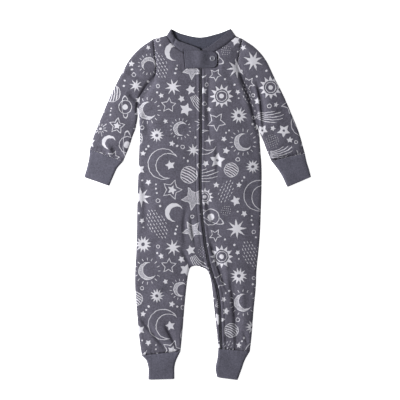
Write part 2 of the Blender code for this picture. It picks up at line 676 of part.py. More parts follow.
def add_zip():
    """The tape behind the fronts' edges, and the coil that fills the groove between them."""
    places = np.linspace(-0.13, 5.985, 44)
    room, _ = from_edges(along(ZIP, places), [edge(LEFT_INSEAM, CROTCH, 6)])
    narrow = np.clip(room - TAPE_INSET, COIL_WIDTH / 2, TAPE_HALF)
    add_strip("zip_tape", offsets_from_zip(places, -narrow, np.full(len(places), TAPE_HALF), 3),
              TAPE_TOP, TAPE_BOTTOM, "zip_cloth")
    half = np.full(len(places), COIL_WIDTH / 2)
    crown = COIL_TOP - 0.55 * np.linspace(-1, 1, 5) ** 2
    add_strip("zip_coil", offsets_from_zip(places, -half, half, 5), crown, COIL_BOTTOM, "zip_coil")


def add_plate(name, outlines, bottom, top, finish):
    """A plate between two heights from its outline in X and Y, and from a hole's where it has one."""
    mesh = bmesh.new()
    edges = []
    for outline in outlines:
        ring = [mesh.verts.new((x, y, bottom)) for x, y in outline]
        edges += [mesh.edges.new(pair) for pair in zip(ring, ring[1:] + ring[:1])]
    bmesh.ops.triangle_fill(mesh, use_beauty=True, edges=edges)
    raised = bmesh.ops.extrude_face_region(mesh, geom=mesh.faces[:])["geom"]
    bmesh.ops.translate(mesh, vec=(0, 0, top - bottom),
                        verts=[item for item in raised if isinstance(item, bmesh.types.BMVert)])
    return add_object(name, mesh, finish)


def round_plate(x, y, half_width, half_length, corner, steps=4):
    """The outline of a rectangle with round corners about a centre."""
    points = []
    for quarter, (side, end) in enumerate(((1, 1), (-1, 1), (-1, -1), (1, -1))):
        for turn in np.linspace(0, math.pi / 2, steps) + quarter * math.pi / 2:
            points.append((x + side * (half_width - corner) + corner * math.cos(turn),
                           y + end * (half_length - corner) + corner * math.sin(turn)))
    return points


def add_slider():
    """The slider at the top of the zip, a plate with a bridge, and the pull through the bridge."""
    x, y = along(ZIP, 0)[0] + (0, SLIDER_UP)
    plate_top = SLIDER_FOOT + SLIDER_PLATE
    slider = add_plate(
        "zip_slider", [round_plate(x, y, SLIDER_WIDTH / 2, SLIDER_LENGTH / 2, SLIDER_CORNER)],
        SLIDER_FOOT, plate_top, "zip_metal")

    half = BRIDGE_LENGTH / 2
    crown = plate_top + BRIDGE_RISE
    sunk = plate_top - SLIDER_PLATE / 2
    opening = half - BRIDGE_POST
    side_view = [
        (-half, sunk), (-half, crown - BRIDGE_BEVEL), (BRIDGE_BEVEL - half, crown),
        (half - BRIDGE_BEVEL, crown), (half, crown - BRIDGE_BEVEL), (half, sunk), (opening, sunk),
        (opening, crown - BRIDGE_BEAM), (-opening, crown - BRIDGE_BEAM), (-opening, sunk)]
    mesh = bmesh.new()
    ring = [mesh.verts.new((x - BRIDGE_WIDTH / 2, y + run, z)) for run, z in side_view]
    mesh.faces.new(ring)
    raised = bmesh.ops.extrude_face_region(mesh, geom=mesh.faces[:])["geom"]
    bmesh.ops.translate(mesh, vec=(BRIDGE_WIDTH, 0, 0),
                        verts=[item for item in raised if isinstance(item, bmesh.types.BMVert)])
    bridge = add_object("zip_slider_bridge", mesh, "zip_metal")
    bridge.hide_render = True
    bridge.display_type = "WIRE"
    union = slider.modifiers.new("bridge", "BOOLEAN")
    union.operation = "UNION"
    union.object = bridge

    bar_top = plate_top + BAR_CLEAR + PULL_THICKNESS
    head = y + PULL_BAR / 2
    one_side = [(half, head - down) for down, half in zip(*PULL_OUTLINE.values())]
    pull = [(x - half, low) for half, low in one_side]
    pull += [(x + half, low) for half, low in reversed(one_side)]
    slot_half = BRIDGE_WIDTH / 2 + SLOT_CLEAR
    slot_top, slot_foot = head - PULL_BAR, head - PULL_BAR - PULL_SLOT
    slot = [(x - slot_half, slot_top), (x + slot_half, slot_top),
            (x + slot_half, slot_foot), (x - slot_half, slot_foot)]
    add_plate("zip_pull", [pull, slot], bar_top - PULL_THICKNESS, bar_top, "zip_metal")


# ---------------------------------------------------------------- chin tab and snap

def tab_foot(points):
    """Height of the tab's underside: just over the cloth, and lifted over the slider and pull."""
    beside = (points[..., 0] - ZIP["x"][0]) / TAB_LIFT_WIDTH
    up = np.clip((points[..., 1] - TAB_LIFT_FROM) / TAB_LIFT_RUN, 0, 1)
    return LAID + TAB_CLEAR + TAB_LIFT * np.exp(-beside ** 4) * up * up * (3 - 2 * up)


def add_chin_tab():
    """A double tab, sewn down at the wearer's right and round at its snapped end."""
    x = np.concatenate((
        np.linspace(TAB_LEFT, TAB_RIGHT - TAB_CORNER, 12),
        TAB_RIGHT - TAB_CORNER * (1 - np.sin(np.radians(TAB_ROUND)))))
    share = (x - TAB_LEFT) / (TAB_RIGHT - TAB_LEFT)
    bend = np.clip((x - (TAB_RIGHT - TAB_CORNER)) / TAB_CORNER, 0, 1)
    half = (TAB_HALF[0] + share * (TAB_HALF[1] - TAB_HALF[0])
            - TAB_CORNER * (1 - np.sqrt(1 - bend ** 2)))
    across = np.linspace(-1, 1, 8)
    middle = TAB_MIDDLE + share * TAB_SLANT
    lean = -TAB_LEAN * across[None, :] * (1 - share[:, None])
    plan = np.dstack((x[:, None] + lean, middle[:, None] + half[:, None] * across))
    top = tab_foot(plan) + TAB_WALL
    add_strip("chin_tab", plan, top, top - TAB_WALL, "plain_jersey")


def add_snap():
    """The snap's cap on the tab, its profile turned round its middle."""
    foot = LAID + TAB_CLEAR + TAB_WALL + SEAM_GAP
    mesh = bmesh.new()
    ring = [mesh.verts.new((SNAP_X + r, SNAP_Y, foot + z)) for r, z in zip(*SNAP_PROFILE.values())]
    edges = [mesh.edges.new(pair) for pair in zip(ring, ring[1:])]
    bmesh.ops.spin(mesh, geom=ring + edges, cent=(SNAP_X, SNAP_Y, 0), axis=(0, 0, 1),
                   angle=2 * math.pi, steps=24)
    bmesh.ops.remove_doubles(mesh, verts=mesh.verts, dist=0.01)
    add_object("snap_cap", mesh, "snap_metal")


def main():
    for item in list(bpy.data.objects):
        bpy.data.objects.remove(item, do_unlink=True)
    seams = add_body()
    add_sleeve("sleeve_right", RIGHT_SIDE, RIGHT_SLEEVE_OUT, RIGHT_SLEEVE_IN, True)
    add_sleeve("sleeve_left", LEFT_SIDE, LEFT_SLEEVE_OUT, LEFT_SLEEVE_IN, False)
    for name, (outer, inner) in CUFFS.items():
        add_cuff(name, outer, inner)
    add_neckband(*seams)
    add_zip()
    add_slider()
    add_chin_tab()
    add_snap()


main()
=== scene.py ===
"""The looks of a footless baby sleepsuit, laid flat on its back.

Sizes are in millimetres until a mesh is made. X runs to the wearer's left, Y to the head and Z up.
The cut is the frame's: the same tables give each piece a finer plan, which is lifted into cloth
with its folds, gathers and seams, and gets stitches, a coil and a print of stars and moons.
"""
import math

import bpy
import numpy as np
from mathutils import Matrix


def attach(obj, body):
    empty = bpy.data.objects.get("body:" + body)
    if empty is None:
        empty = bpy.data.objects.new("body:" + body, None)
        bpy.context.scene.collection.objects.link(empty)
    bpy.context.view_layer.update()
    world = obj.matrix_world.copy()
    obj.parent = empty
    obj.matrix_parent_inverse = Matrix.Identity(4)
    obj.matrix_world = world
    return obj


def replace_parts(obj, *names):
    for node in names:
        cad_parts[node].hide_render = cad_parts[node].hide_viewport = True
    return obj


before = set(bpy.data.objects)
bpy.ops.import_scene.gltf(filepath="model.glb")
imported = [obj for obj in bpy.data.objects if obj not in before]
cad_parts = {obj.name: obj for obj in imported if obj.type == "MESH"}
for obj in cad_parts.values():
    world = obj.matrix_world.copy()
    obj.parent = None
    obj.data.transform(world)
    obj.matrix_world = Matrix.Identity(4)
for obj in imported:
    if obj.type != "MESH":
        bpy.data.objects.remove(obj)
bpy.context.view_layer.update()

MM = 0.001
LAID = 6.0                  # height of the two layers, laid on each other
CUFF_LAID = 5.6
WALL = 0.9                  # jersey as it shows at an edge
CUFF_WALL = 1.8
BAND_WALL = 1.6
TAB_WALL = 1.8
THIN = 0.1                  # the least wall at a rounded edge
GAP = 0.12                  # between sewn pieces
ROUND = 7.0                 # how far in from the outline the upper layer reaches its height
CUFF_ROUND = 4.5
STEP = 2.1                  # spacing of the cloth's points

GROOVE = 4.4                # between the two fronts' edges at the zip
HEM_STITCH = 6.2            # from a front's edge to its row of stitches
HEM_RISE = 0.5              # the hem beside the zip is double
HEM_SEWN, HEM_SEWN_WIDTH = 0.55, 1.1    # the dip that its stitches draw in
HEM_ROLL = 1.3              # how far a front's edge rolls down, and over how much of its width


def table(columns, *rows):
    """A short table: a dict from each column's name to its values."""
    return dict(zip(columns.split(), np.array(rows, float).T))


# ---------------------------------------------------------------- the cut, as in the frame

# v: 0 neck and shoulder, 1 armpit, 2 waist, 3 hip, 4 crotch, 5 knee, 6 ankle seam
RIGHT_SIDE = table(
    "v x y",
    (0, -83, 309.5), (0.22, -79.5, 280), (0.5, -79, 243), (0.65, -90, 221.5),
    (0.82, -106, 203), (1, -110, 179), (1.2, -109, 158), (1.5, -109, 124), (2, -111, 64),
    (2.5, -113, 8), (3, -114, -52), (3.5, -115, -89), (4, -117, -123),
    (4.5, -117, -157), (5, -114, -198), (5.5, -110, -245), (6, -105, -283))
LEFT_SIDE = table(
    "v x y",
    (0, 84, 309.5), (0.18, 79.5, 285), (0.36, 77, 260), (0.5, 87.5, 239),
    (0.7, 101, 203.5), (0.87, 107.5, 168.5), (1, 112.5, 146), (1.5, 117, 109),
    (2, 120, 62), (2.5, 119, 2), (3, 117, -52), (3.5, 114, -89),
    (4, 110.5, -123), (4.5, 109, -157), (5, 105, -198), (5.5, 102, -239), (6, 98, -275.5))
MIDDLE = table(
    "v x y",
    (0, -26, 284.8), (1, -18, 168), (2, -14, 63), (3, -9, -53), (3.6, -5.5, -95), (4, -4, -115))
RIGHT_INSEAM = table(
    "v x y",
    (4, -4, -115), (4.15, -12, -117.5), (4.35, -16.5, -127), (4.6, -19.5, -144),
    (5, -24, -187), (5.5, -28, -235), (6, -32, -275.5))
LEFT_INSEAM = table(
    "v x y",
    (4, -4, -115), (4.15, 11, -118), (4.35, 20, -128), (4.6, 25, -144),
    (5, 30, -187), (5.5, 35.5, -235), (6, 38.5, -271))
ZIP = table(
    "v x y",
    (-0.15, 6.5, 290), (0, 6.5, 272), (1, 6.5, 161), (1.5, 6.4, 109), (2, 5.4, 62),
    (2.5, 6.7, 2), (3, 12, -53), (3.5, 17.2, -89), (4, 23.2, -117), (4.3, 30, -138),
    (4.6, 36.5, -157), (5, 41.5, -190), (5.5, 43.2, -235), (6, 44.5, -271.5))
NECK_FRONT_RIGHT = table(
    "v x y", (0, -58, 316), (0.25, -46, 299), (0.5, -33, 288.5), (0.75, -15, 279), (1, 6.5, 272))
NECK_FRONT_LEFT = table(
    "v x y", (0, 6.5, 272), (0.25, 23, 279.5), (0.5, 37, 288.5), (0.75, 55, 301), (1, 72, 314.5))
NECK_BACK = table(
    "v x y", (0, -58, 316), (0.25, -28, 300), (0.5, 4, 295), (0.75, 36, 299), (1, 72, 314.5))
NECK_MIDDLE = 0.6           # where the middle line leaves the right front's neckline
BACK_MIDDLE = 0.3           # and the back's
ZIP_SHARE = 0.03            # the share of a front's neckline that half the zip takes
SHOULDER_SHARES = (0.45, 0.35)  # how far across each half the lines from the neck's corners run
RIGHT_SLEEVE_OUT = table(
    "v x y",
    (0, -83, 309.5), (0.14, -108, 292), (0.27, -128.5, 269.5), (0.4, -147, 236),
    (0.55, -164, 202), (0.7, -178, 168.5), (0.85, -192, 135), (1, -202, 103))
RIGHT_SLEEVE_IN = table(
    "v x y",
    (0, -110, 179), (0.2, -111.2, 171.5), (0.35, -112.8, 158), (0.5, -116, 142),
    (0.7, -122, 126), (0.85, -128.5, 106), (1, -139.5, 80))
LEFT_SLEEVE_OUT = table(
    "v x y",
    (0, 84, 309.5), (0.14, 109, 292), (0.27, 128, 269.5), (0.4, 144.5, 236),
    (0.55, 161.5, 202), (0.7, 176, 168.5), (0.85, 189.5, 135), (1, 201, 95))
LEFT_SLEEVE_IN = table(
    "v x y",
    (0, 112.5, 146), (0.3, 117, 133), (0.6, 123, 118), (0.8, 128.5, 103), (1, 138, 81))
CUFFS = {
    "sleeve_cuff_right": (
        table("v x y", (0, -202, 103), (0.35, -203.5, 86), (0.7, -207.5, 68), (1, -212.5, 50.5)),
        table("v x y", (0, -139.5, 80), (0.3, -150.5, 67.5), (0.6, -156.5, 55), (1, -165.5, 34))),
    "sleeve_cuff_left": (
        table("v x y", (0, 201, 95), (0.35, 204.5, 79), (0.7, 209, 64.5), (1, 212.5, 51)),
        table("v x y", (0, 138, 81), (0.3, 148.5, 67.5), (0.6, 157.5, 54), (1, 168, 32))),
    "leg_cuff_right": (
        table("v x y", (0, -105, -283), (0.2, -97, -291), (0.45, -93, -302), (1, -92.3, -328.5)),
        table("v x y", (0, -32, -275.5), (0.25, -39, -290), (0.5, -42.5, -301), (1, -43.3, -327))),
    "leg_cuff_left": (
        table("v x y", (0, 98, -275.5), (0.25, 89.5, -290), (0.6, 82.5, -309), (1, 75, -329)),
        table("v x y", (0, 38.5, -271), (0.3, 37, -288), (0.65, 33.5, -307), (1, 36.5, -324))),
}
FREE_FRONT_RIGHT = table(
    "v x y",
    (0, -50, 328.8), (0.1, -47, 320), (0.27, -39, 308), (0.48, -24, 301.5),
    (0.74, -7, 295.5), (1, 4.3, 290.5))
FREE_FRONT_LEFT = table(
    "v x y",
    (0, 8.7, 290.5), (0.21, 19, 293.5), (0.43, 29.5, 301), (0.72, 46, 313.5), (1, 62, 328.8))
FREE_BACK = table(
    "v x y",
    (0, -50, 328.8), (0.25, -30, 319.5), (0.48, 4, 312.8), (0.72, 37, 319.5), (1, 62, 328.8))

TAB_LEFT, TAB_RIGHT = -24.0, 36.5
TAB_MIDDLE, TAB_SLANT = 271.2, -1.4     # its middle in Y, and how far it runs down to the right
TAB_HALF = (17.2, 14.6)     # half its width at its two ends
TAB_CORNER = 9.0
TAB_LEAN = 1.6              # how far its sewn end slants
TAB_CLEAR = 0.35            # over the cloth
TAB_LIFT, TAB_LIFT_WIDTH = 3.5, 11.0    # its rise over the slider, whose middle is at TAB_ZIP
TAB_LIFT_FROM, TAB_LIFT_RUN = 252.0, 18.0
TAB_ZIP = 6.5
TAB_STITCH = 2.4            # from the tab's edge to its row of stitches
TAB_SEWN, TAB_SEWN_WIDTH = 0.3, 0.55        # the dip that they draw in
TAB_PILLOW, TAB_PILLOW_WIDTH = 0.25, 3      # its fullness inside them
TAB_PUCKER, TAB_PUCKER_WIDTH = 0.1, 1.6
TAB_GROOVE, TAB_GROOVE_WIDTH = 1.1, 1.6     # the dip that its edge presses into the fronts
SNAP_X, SNAP_Y = 28.0, 272.3

CROTCH = 4.0                # where the legs part, as v
NECK_FADE = 0.8             # as v, where the rows no longer bend with the neckline
CAP_FADE = 0.45             # or with the sleeve's cap

# ---------------------------------------------------------------- folds

# Each fold is a bow from its start through a bend to its end. It rises, or sinks where rise is
# below nought, and lean makes the side to the left of its run wider (above 0) or steeper.
FOLDS = table(
    "x0 y0 x1 y1 x2 y2 width rise lean",
    (23, 240, 20, 180, 24, 122, 5, -3.0, 0.3),         # beside the zip, chest to waist
    (34, 112, 37, 80, 35, 46, 5, -2.6, 0.3),
    (19, 12, 22, -12, 33, -40, 5, -3.0, 0.3),          # its end at the hip
    (26, -74, 37, -110, 53, -158, 4.8, -5.0, 0.4),     # where the zip bends into the leg
    (41, -86, 53, -116, 66, -148, 6, 1.8, 0.0),        # and the swell beside it
    (58, -124, 70, -188, 73, -270, 7.5, -5.2, 0.3),    # down the left leg
    (84, -140, 90, -200, 88, -262, 9, 0.9, 0.0),
    (84, -236, 90, -250, 94, -264, 4, -2.2, 0.2),
    (-104, -218, -88, -236, -62, -268, 5, -5.2, 0.4),  # across the right shin
    (-94, -244, -80, -256, -66, -272, 5, 1.1, 0.0),
    (-60, -228, -50, -246, -38, -268, 4.5, -4.2, 0.3),
    (-80, -80, -78, -90, -75, -101, 5, -1.4, 0.0),
    (-21, -6, -25, -40, -23, -76, 4.5, -2.2, 0.2),     # left of the zip, over the crotch
    (-13, -26, -9, -50, -4, -76, 4, -3.0, 0.2),
    (-29, -86, -22, -98, -11, -118, 4.5, -2.8, 0.2),   # from the crotch
    (14, -104, 12, -112, 9, -120, 4, -1.6, 0.0),
    (74, 264, 98, 208, 115, 134, 4.2, -5.0, 0.0),      # along the left armhole
    (60, 260, 86, 206, 104, 144, 6.5, 2.8, 0.0),       # the swell inside it
    (112, 224, 121, 188, 123, 140, 4, -4.6, 0.0),      # beside it on the sleeve
    (106, 228, 114, 190, 118, 150, 3.5, 1.6, 0.0),
    (126, 232, 138, 190, 152, 132, 13, 1.6, 0.0),      # the sleeve's fullness
    (55, 296, 72, 289, 90, 288, 5, -2.4, 0.0),         # on the left shoulder
    (-78, 238, -98, 212, -112, 178, 6, -4.6, 0.2),     # along the right armhole
    (-96, 200, -102, 184, -101, 165, 8, 1.0, 0.0),
    (-103, 206, -110, 188, -113, 168, 3, -3.6, 0.0),   # and at the armpit
    (-130, 246, -118, 242, -102, 234, 5, -2.8, 0.2),   # on the right sleeve's cap
    (-128, 206, -120, 199, -110, 192, 5, -3.0, 0.2),
    (-121, 224, -112, 220, -104, 224, 7, 1.0, 0.0),
    (-199, 104, -168, 100, -138, 86, 4, -2.6, 0.0),    # above the right cuff
    (-184, 113, -164, 109, -143, 99, 4.5, 1.8, 0.0),
    (-170, 110, -165, 101, -162, 91, 5.5, 2.8, 0.0),
    (-162, 106, -150, 97, -140, 88, 5, -4.4, 0.3),
    (130, 76, 166, 86, 202, 96, 3.5, -3.6, 0.0),       # above the left cuff
    (136, 88, 160, 96, 186, 104, 5, 1.4, 0.0),
    (160, 152, 150, 140, 138, 134, 8, -1.5, 0.2),      # left forearm
    (186, 112, 172, 110, 152, 100, 6, -1.8, 0.0),
    (170, 178, 160, 172, 146, 172, 9, -1.4, 0.0),
    (-150, 190, -140, 178, -126, 170, 8, -1.6, 0.2),   # right forearm
    (-160, 200, -150, 206, -138, 204, 9, 0.8, 0.0),
    (-60, 120, -66, 50, -62, -20, 24, 0.9, 0.0),       # fullness of the fronts
    (72, 100, 76, 30, 72, -40, 22, 1.0, 0.0),
    (92, 270, 102, 200, 110, 140, 34, -2.6, 0.0),      # the chest falls away to the left arm
    (-102, 52, -98, 4, -96, -44, 7, -2.2, 0.2),        # down the right side
    (-107, 188, -96, 158, -92, 126, 7, -2.0, 0.2),
    (108, 20, 92, 8, 74, 10, 9, -1.2, 0.3),            # faint pulls at the waist and hips
    (-106, -60, -90, -70, -66, -68, 10, -1.2, 0.0),
    (104, -70, 90, -78, 70, -74, 9, -1.2, 0.0),
    (-70, 200, -48, 186, -30, 188, 10, -0.8, 0.0),
    (84, 120, 66, 112, 50, 118, 9, -0.8, 0.0),
    (-50, -150, -66, -170, -70, -196, 9, -1.6, 0.2),   # thighs
    (88, -160, 92, -184, 84, -210, 8, -1.6, 0.2),
    (46, -262, 54, -255, 62, -258, 5, -1.2, 0.0))
FOLD_STEPS = 14             # points on each bow
PUFF = 2.0                  # the upper layer's fullness away from outline, seams and zip
PUFF_WIDTH = 24.0
SEAM_DIP, SEAM_WIDTH = 1.7, 1.5
CUFF_DIP = 2.0
SEAM_HOLLOW, SEAM_HOLLOW_WIDTH = 0.9, 6.0
FRONT_FLOOR = 2.7           # the upper layer stays over this height
GATHER = 0.5                # height of the gathers at the cuffs
GATHER_REACH = 10.0         # how far from the seam they run out
GATHER_LENGTHS = (8.3, 5.1)     # of their two ripples, along the seam
CUFF_GATHER, CUFF_GATHER_REACH = 0.4, 9
CUFF_PUFF, CUFF_PUFF_WIDTH = 0.7, 7
CUFF_SEAM_DIP = 0.8         # on the cuff's side of its seam
UNDER_RISE, UNDER_RISE_WIDTH = 0.5, 1.3     # of the lower layer at its seams
# Broad unevenness of the cloth: wave lengths in X and Y, their phase and their height
WAVES = table(
    "x y phase rise",
    (83, 0, 0.3, 0.25), (0, 97, 1.9, 0.2), (61, 74, 4.0, 0.2), (-47, 66, 2.2, 0.15),
    (39, 0, 0.9, 0.06), (0, 43, 5.1, 0.06))


# ---------------------------------------------------------------- plan geometry

def along(line, v):
    """Points of a line at the places v: cubics through its rows, with the slopes there."""
    knots = line["v"]
    points = np.column_stack((line["x"], line["y"]))
    slopes = np.gradient(points, knots, axis=0)
    v = np.atleast_1d(np.asarray(v, float))
    i = np.clip(np.searchsorted(knots, v, side="right") - 1, 0, len(knots) - 2)
    span = (knots[i + 1] - knots[i])[:, None]
    t = (v[:, None] - knots[i][:, None]) / span
    return ((1 + 2 * t) * (1 - t) ** 2 * points[i] + t * (1 - t) ** 2 * span * slopes[i]
            + t * t * (3 - 2 * t) * points[i + 1] - t * t * (1 - t) * span * slopes[i + 1])


def edge(line, start, end, cloth_left=True, steps=60):
    """A stretch of a line as a polyline that has the cloth on its left."""
    points = along(line, np.linspace(start, end, steps))
    return points if cloth_left else points[::-1]


def dropped(points, starts, spans):
    """Each point dropped square onto each stretch: its share of the stretch, and the way back."""
    relative = points[:, None, :] - starts
    share = np.clip((relative * spans).sum(2) / (spans * spans).sum(1), 0, 1)
    return share, relative - share[..., None] * spans


def from_edges(points, edges, block_size=4000):
    """Distance of each point from the nearest edge, and the unit direction away from it.

    Each point is dropped square onto every stretch of the edges, and the shortest drop counts.
    """
    starts = np.concatenate([line[:-1] for line in edges])
    spans = np.concatenate([np.diff(line, axis=0) for line in edges])
    found = []
    for low in range(0, len(points), block_size):
        _, reach = dropped(points[low:low + block_size], starts, spans)
        distances = np.einsum("ijk,ijk->ij", reach, reach)
        nearest = distances.argmin(1)
        pick = np.arange(len(nearest))
        distance = np.sqrt(distances[pick, nearest])
        away = reach[pick, nearest] / np.maximum(distance, 1e-9)[:, None]
        inward = np.column_stack((-spans[nearest, 1], spans[nearest, 0]))
        inward /= np.linalg.norm(inward, axis=1)[:, None]
        away[distance < 0.2] = inward[distance < 0.2]
        found.append((distance, away))
    return (np.concatenate([distance for distance, _ in found]),
            np.concatenate([away for _, away in found]))


def lengths(a, b):
    """Distances between the points of two lists, pair by pair."""
    return np.linalg.norm(b - a, axis=1)


def run_of(points):
    """How far along a polyline each of its points lies."""
    return np.concatenate(([0], np.cumsum(lengths(points[:-1], points[1:]))))


def distance_from(points, edges):
    """Distance of each point from the nearest edge."""
    return from_edges(points, edges)[0]


def steps_in(length):
    """How many steps of the cloth's grid a length takes."""
    return max(2, round(length / STEP))


# Distances of the first columns from an edge: where the cloth turns over, and where it is cut
FOLDED = (0.0, 0.3, 0.8, 1.6, 2.8, 4.6)
SEWN = (0.0, 0.7, 1.5, 2.8)


def spread(run, first, last):
    """Shares across each row: set distances at its ends, and an even count between them."""
    count = steps_in(run.mean())
    run = run[:, None]
    start = np.minimum(np.array(first) / run, np.array(first) / first[-1] * 0.3)
    stop = 1 - np.minimum(np.array(last[::-1]) / run, np.array(last[::-1]) / last[-1] * 0.3)
    between = np.linspace(0, 1, count + 2)[1:-1]
    return np.hstack((start, start[:, -1:] + (stop[:, :1] - start[:, -1:]) * between, stop))


def block(left, right, top, shares, fade):
    """A grid of plan points between two lines, its first row bent to the curve called top.

    Each row is the straight line from left to right at its shares, plus the curve's departure
    from the straight line of the first row, times that row's fade.
    """
    straight_rows = left[:, None] + shares[..., None] * (right - left)[:, None]
    bend = top(shares.ravel()).reshape(straight_rows.shape)
    bend -= left[0] + shares[..., None] * (right[0] - left[0])
    return straight_rows + fade[:, None, None] * bend


def piece_of(curve, start, end):
    """A function from a share of the way, 0 to 1, to points on one stretch of a curve."""
    return lambda share: along(curve, start + share * (end - start))


def straight(a, b):
    """A function from a share of the way, 0 to 1, to points on a straight line."""
    return lambda share: a + np.asarray(share)[:, None] * (b - a)


def draw_back(grid, *cuts):
    """Move cut stretches of a grid inwards by half the seam's gap, square to their own run."""
    moves = []
    for line, beside in cuts:
        run = grid[line]
        tangent = np.gradient(run, axis=0)
        square = np.column_stack((-tangent[:, 1], tangent[:, 0]))
        square /= np.maximum(np.linalg.norm(square, axis=1), 1e-9)[:, None]
        side = np.sign(((grid[beside] - run) * square).sum())
        moves.append((line, GAP / 2 * side * square))
    for line, move in moves:
        grid[line] += move


def on_polyline(points, distances):
    """Points at set distances along a polyline."""
    run = run_of(points)
    return np.column_stack([np.interp(distances, run, axis) for axis in points.T])


def beside(line, offset):
    """A polyline moved to its left by an offset, square to its run."""
    tangent = np.gradient(line, axis=0)
    tangent /= np.linalg.norm(tangent, axis=1)[:, None]
    return line + offset * np.column_stack((-tangent[:, 1], tangent[:, 0]))


# ---------------------------------------------------------------- outline and seams

CORNER_RIGHT, CORNER_LEFT = along(NECK_BACK, 0)[0], along(NECK_BACK, 1)[0]
OUTLINE = [
    np.array((CORNER_RIGHT, along(RIGHT_SIDE, 0)[0])),
    np.array((along(LEFT_SIDE, 0)[0], CORNER_LEFT)),
    edge(RIGHT_SIDE, 1, 6), edge(LEFT_SIDE, 1, 6, False),
    edge(RIGHT_INSEAM, CROTCH, 6, False), edge(LEFT_INSEAM, CROTCH, 6),
    edge(RIGHT_SLEEVE_OUT, 0, 1), edge(RIGHT_SLEEVE_IN, 0, 1, False),
    edge(LEFT_SLEEVE_OUT, 0, 1, False), edge(LEFT_SLEEVE_IN, 0, 1)]
ARMHOLES = [edge(RIGHT_SIDE, 0, 1), edge(LEFT_SIDE, 0, 1)]
NECK_SEAMS = [edge(NECK_FRONT_RIGHT, 0, 1), edge(NECK_FRONT_LEFT, 0, 1)]
CUFF_SEAMS = [np.array((along(outer, 0)[0], along(inner, 0)[0]))
              for outer, inner in CUFFS.values()]
ZIP_LINE = [edge(ZIP, -0.15, 6, steps=120)]
TAB_LOW = np.array((TAB_LEFT - 2, TAB_MIDDLE - 18))     # corners of a box round the tab
TAB_HIGH = np.array((TAB_RIGHT + 1, TAB_MIDDLE + 18))
TAB_NEAR = 8.0              # how far beside that box the cloth is still held down


def bell(distance, width):
    """1 at nought, falling away to nothing past about twice the width."""
    return np.exp(-(distance / width) ** 2)


def fold_heights(points):
    """Sum of the folds. Each is a bell across its bow that fades towards both ends.

    The bow is the quadratic curve through its start, bend and end. A point's place on it is that
    of the nearest of its steps, and the fade is the root of the sine of its share of the way.
    """
    total = np.zeros(len(points))
    share = np.linspace(0, 1, FOLD_STEPS)[:, None]
    for x0, y0, x1, y1, x2, y2, width, rise, lean in zip(*FOLDS.values()):
        start, end = np.array((x0, y0)), np.array((x2, y2))
        bend = 2 * np.array((x1, y1)) - (start + end) / 2
        bow = (1 - share) ** 2 * start + 2 * share * (1 - share) * bend + share ** 2 * end
        near = np.flatnonzero(
            (points > bow.min(0) - 3 * width).all(1) & (points < bow.max(0) + 3 * width).all(1))
        if not len(near):
            continue
        span = np.diff(bow, axis=0)
        place, reach = dropped(points[near], bow[:-1], span)
        distances = np.linalg.norm(reach, axis=2)
        nearest = distances.argmin(1)
        pick = np.arange(len(near))
        way = (nearest + place[pick, nearest]) / (FOLD_STEPS - 1)
        ahead, aside = span[nearest], reach[pick, nearest]
        cross = ahead[:, 0] * aside[:, 1] - ahead[:, 1] * aside[:, 0]
        wide = width * (1 + lean * np.sign(cross))
        fade = np.sqrt(np.clip(np.sin(math.pi * np.clip(way, 0.03, 0.97)), 0, 1))
        total[near] += rise * fade * bell(distances[pick, nearest], wide)
    return total


def wave_heights(points):
    """The broad unevenness: a sum of plane sines."""
    total = np.zeros(len(points))
    for x, y, phase, rise in zip(*WAVES.values()):
        turn = phase + (points[:, 0] * 2 * math.pi / x if x else 0)
        turn = turn + (points[:, 1] * 2 * math.pi / y if y else 0)
        total += rise * np.sin(turn)
    return total


def gather_heights(points, height=GATHER, reach=GATHER_REACH):
    """Ripples that run square into each cuff seam and die away from it.

    Along the seam they're two sines of different lengths, so that no two ripples are alike.
    """
    total = np.zeros(len(points))
    long, short = GATHER_LENGTHS
    for number, (a, b) in enumerate(CUFF_SEAMS):
        width = np.linalg.norm(b - a)
        run = (b - a) / width
        away = np.abs((points - a) @ np.array((-run[1], run[0])))
        place = (points - a) @ run
        at_seam = (place > -5) & (place < width + 5)
        ripple = np.sin(place * 2 * math.pi / long + number) + 0.7 * np.sin(
            place * 2 * math.pi / short + 2.3 * number + 0.08 * away)
        total += at_seam * height / 1.7 * ripple * np.exp(-away / reach)
    return total


def under_tab(points):
    """1 where the chin tab lies, falling to 0 a little way beside it by a smooth step."""
    past = np.maximum(np.maximum(TAB_LOW - points, points - TAB_HIGH), 0)
    share = np.clip(1 - np.linalg.norm(past, axis=1) / TAB_NEAR, 0, 1)
    return share * share * (3 - 2 * share)


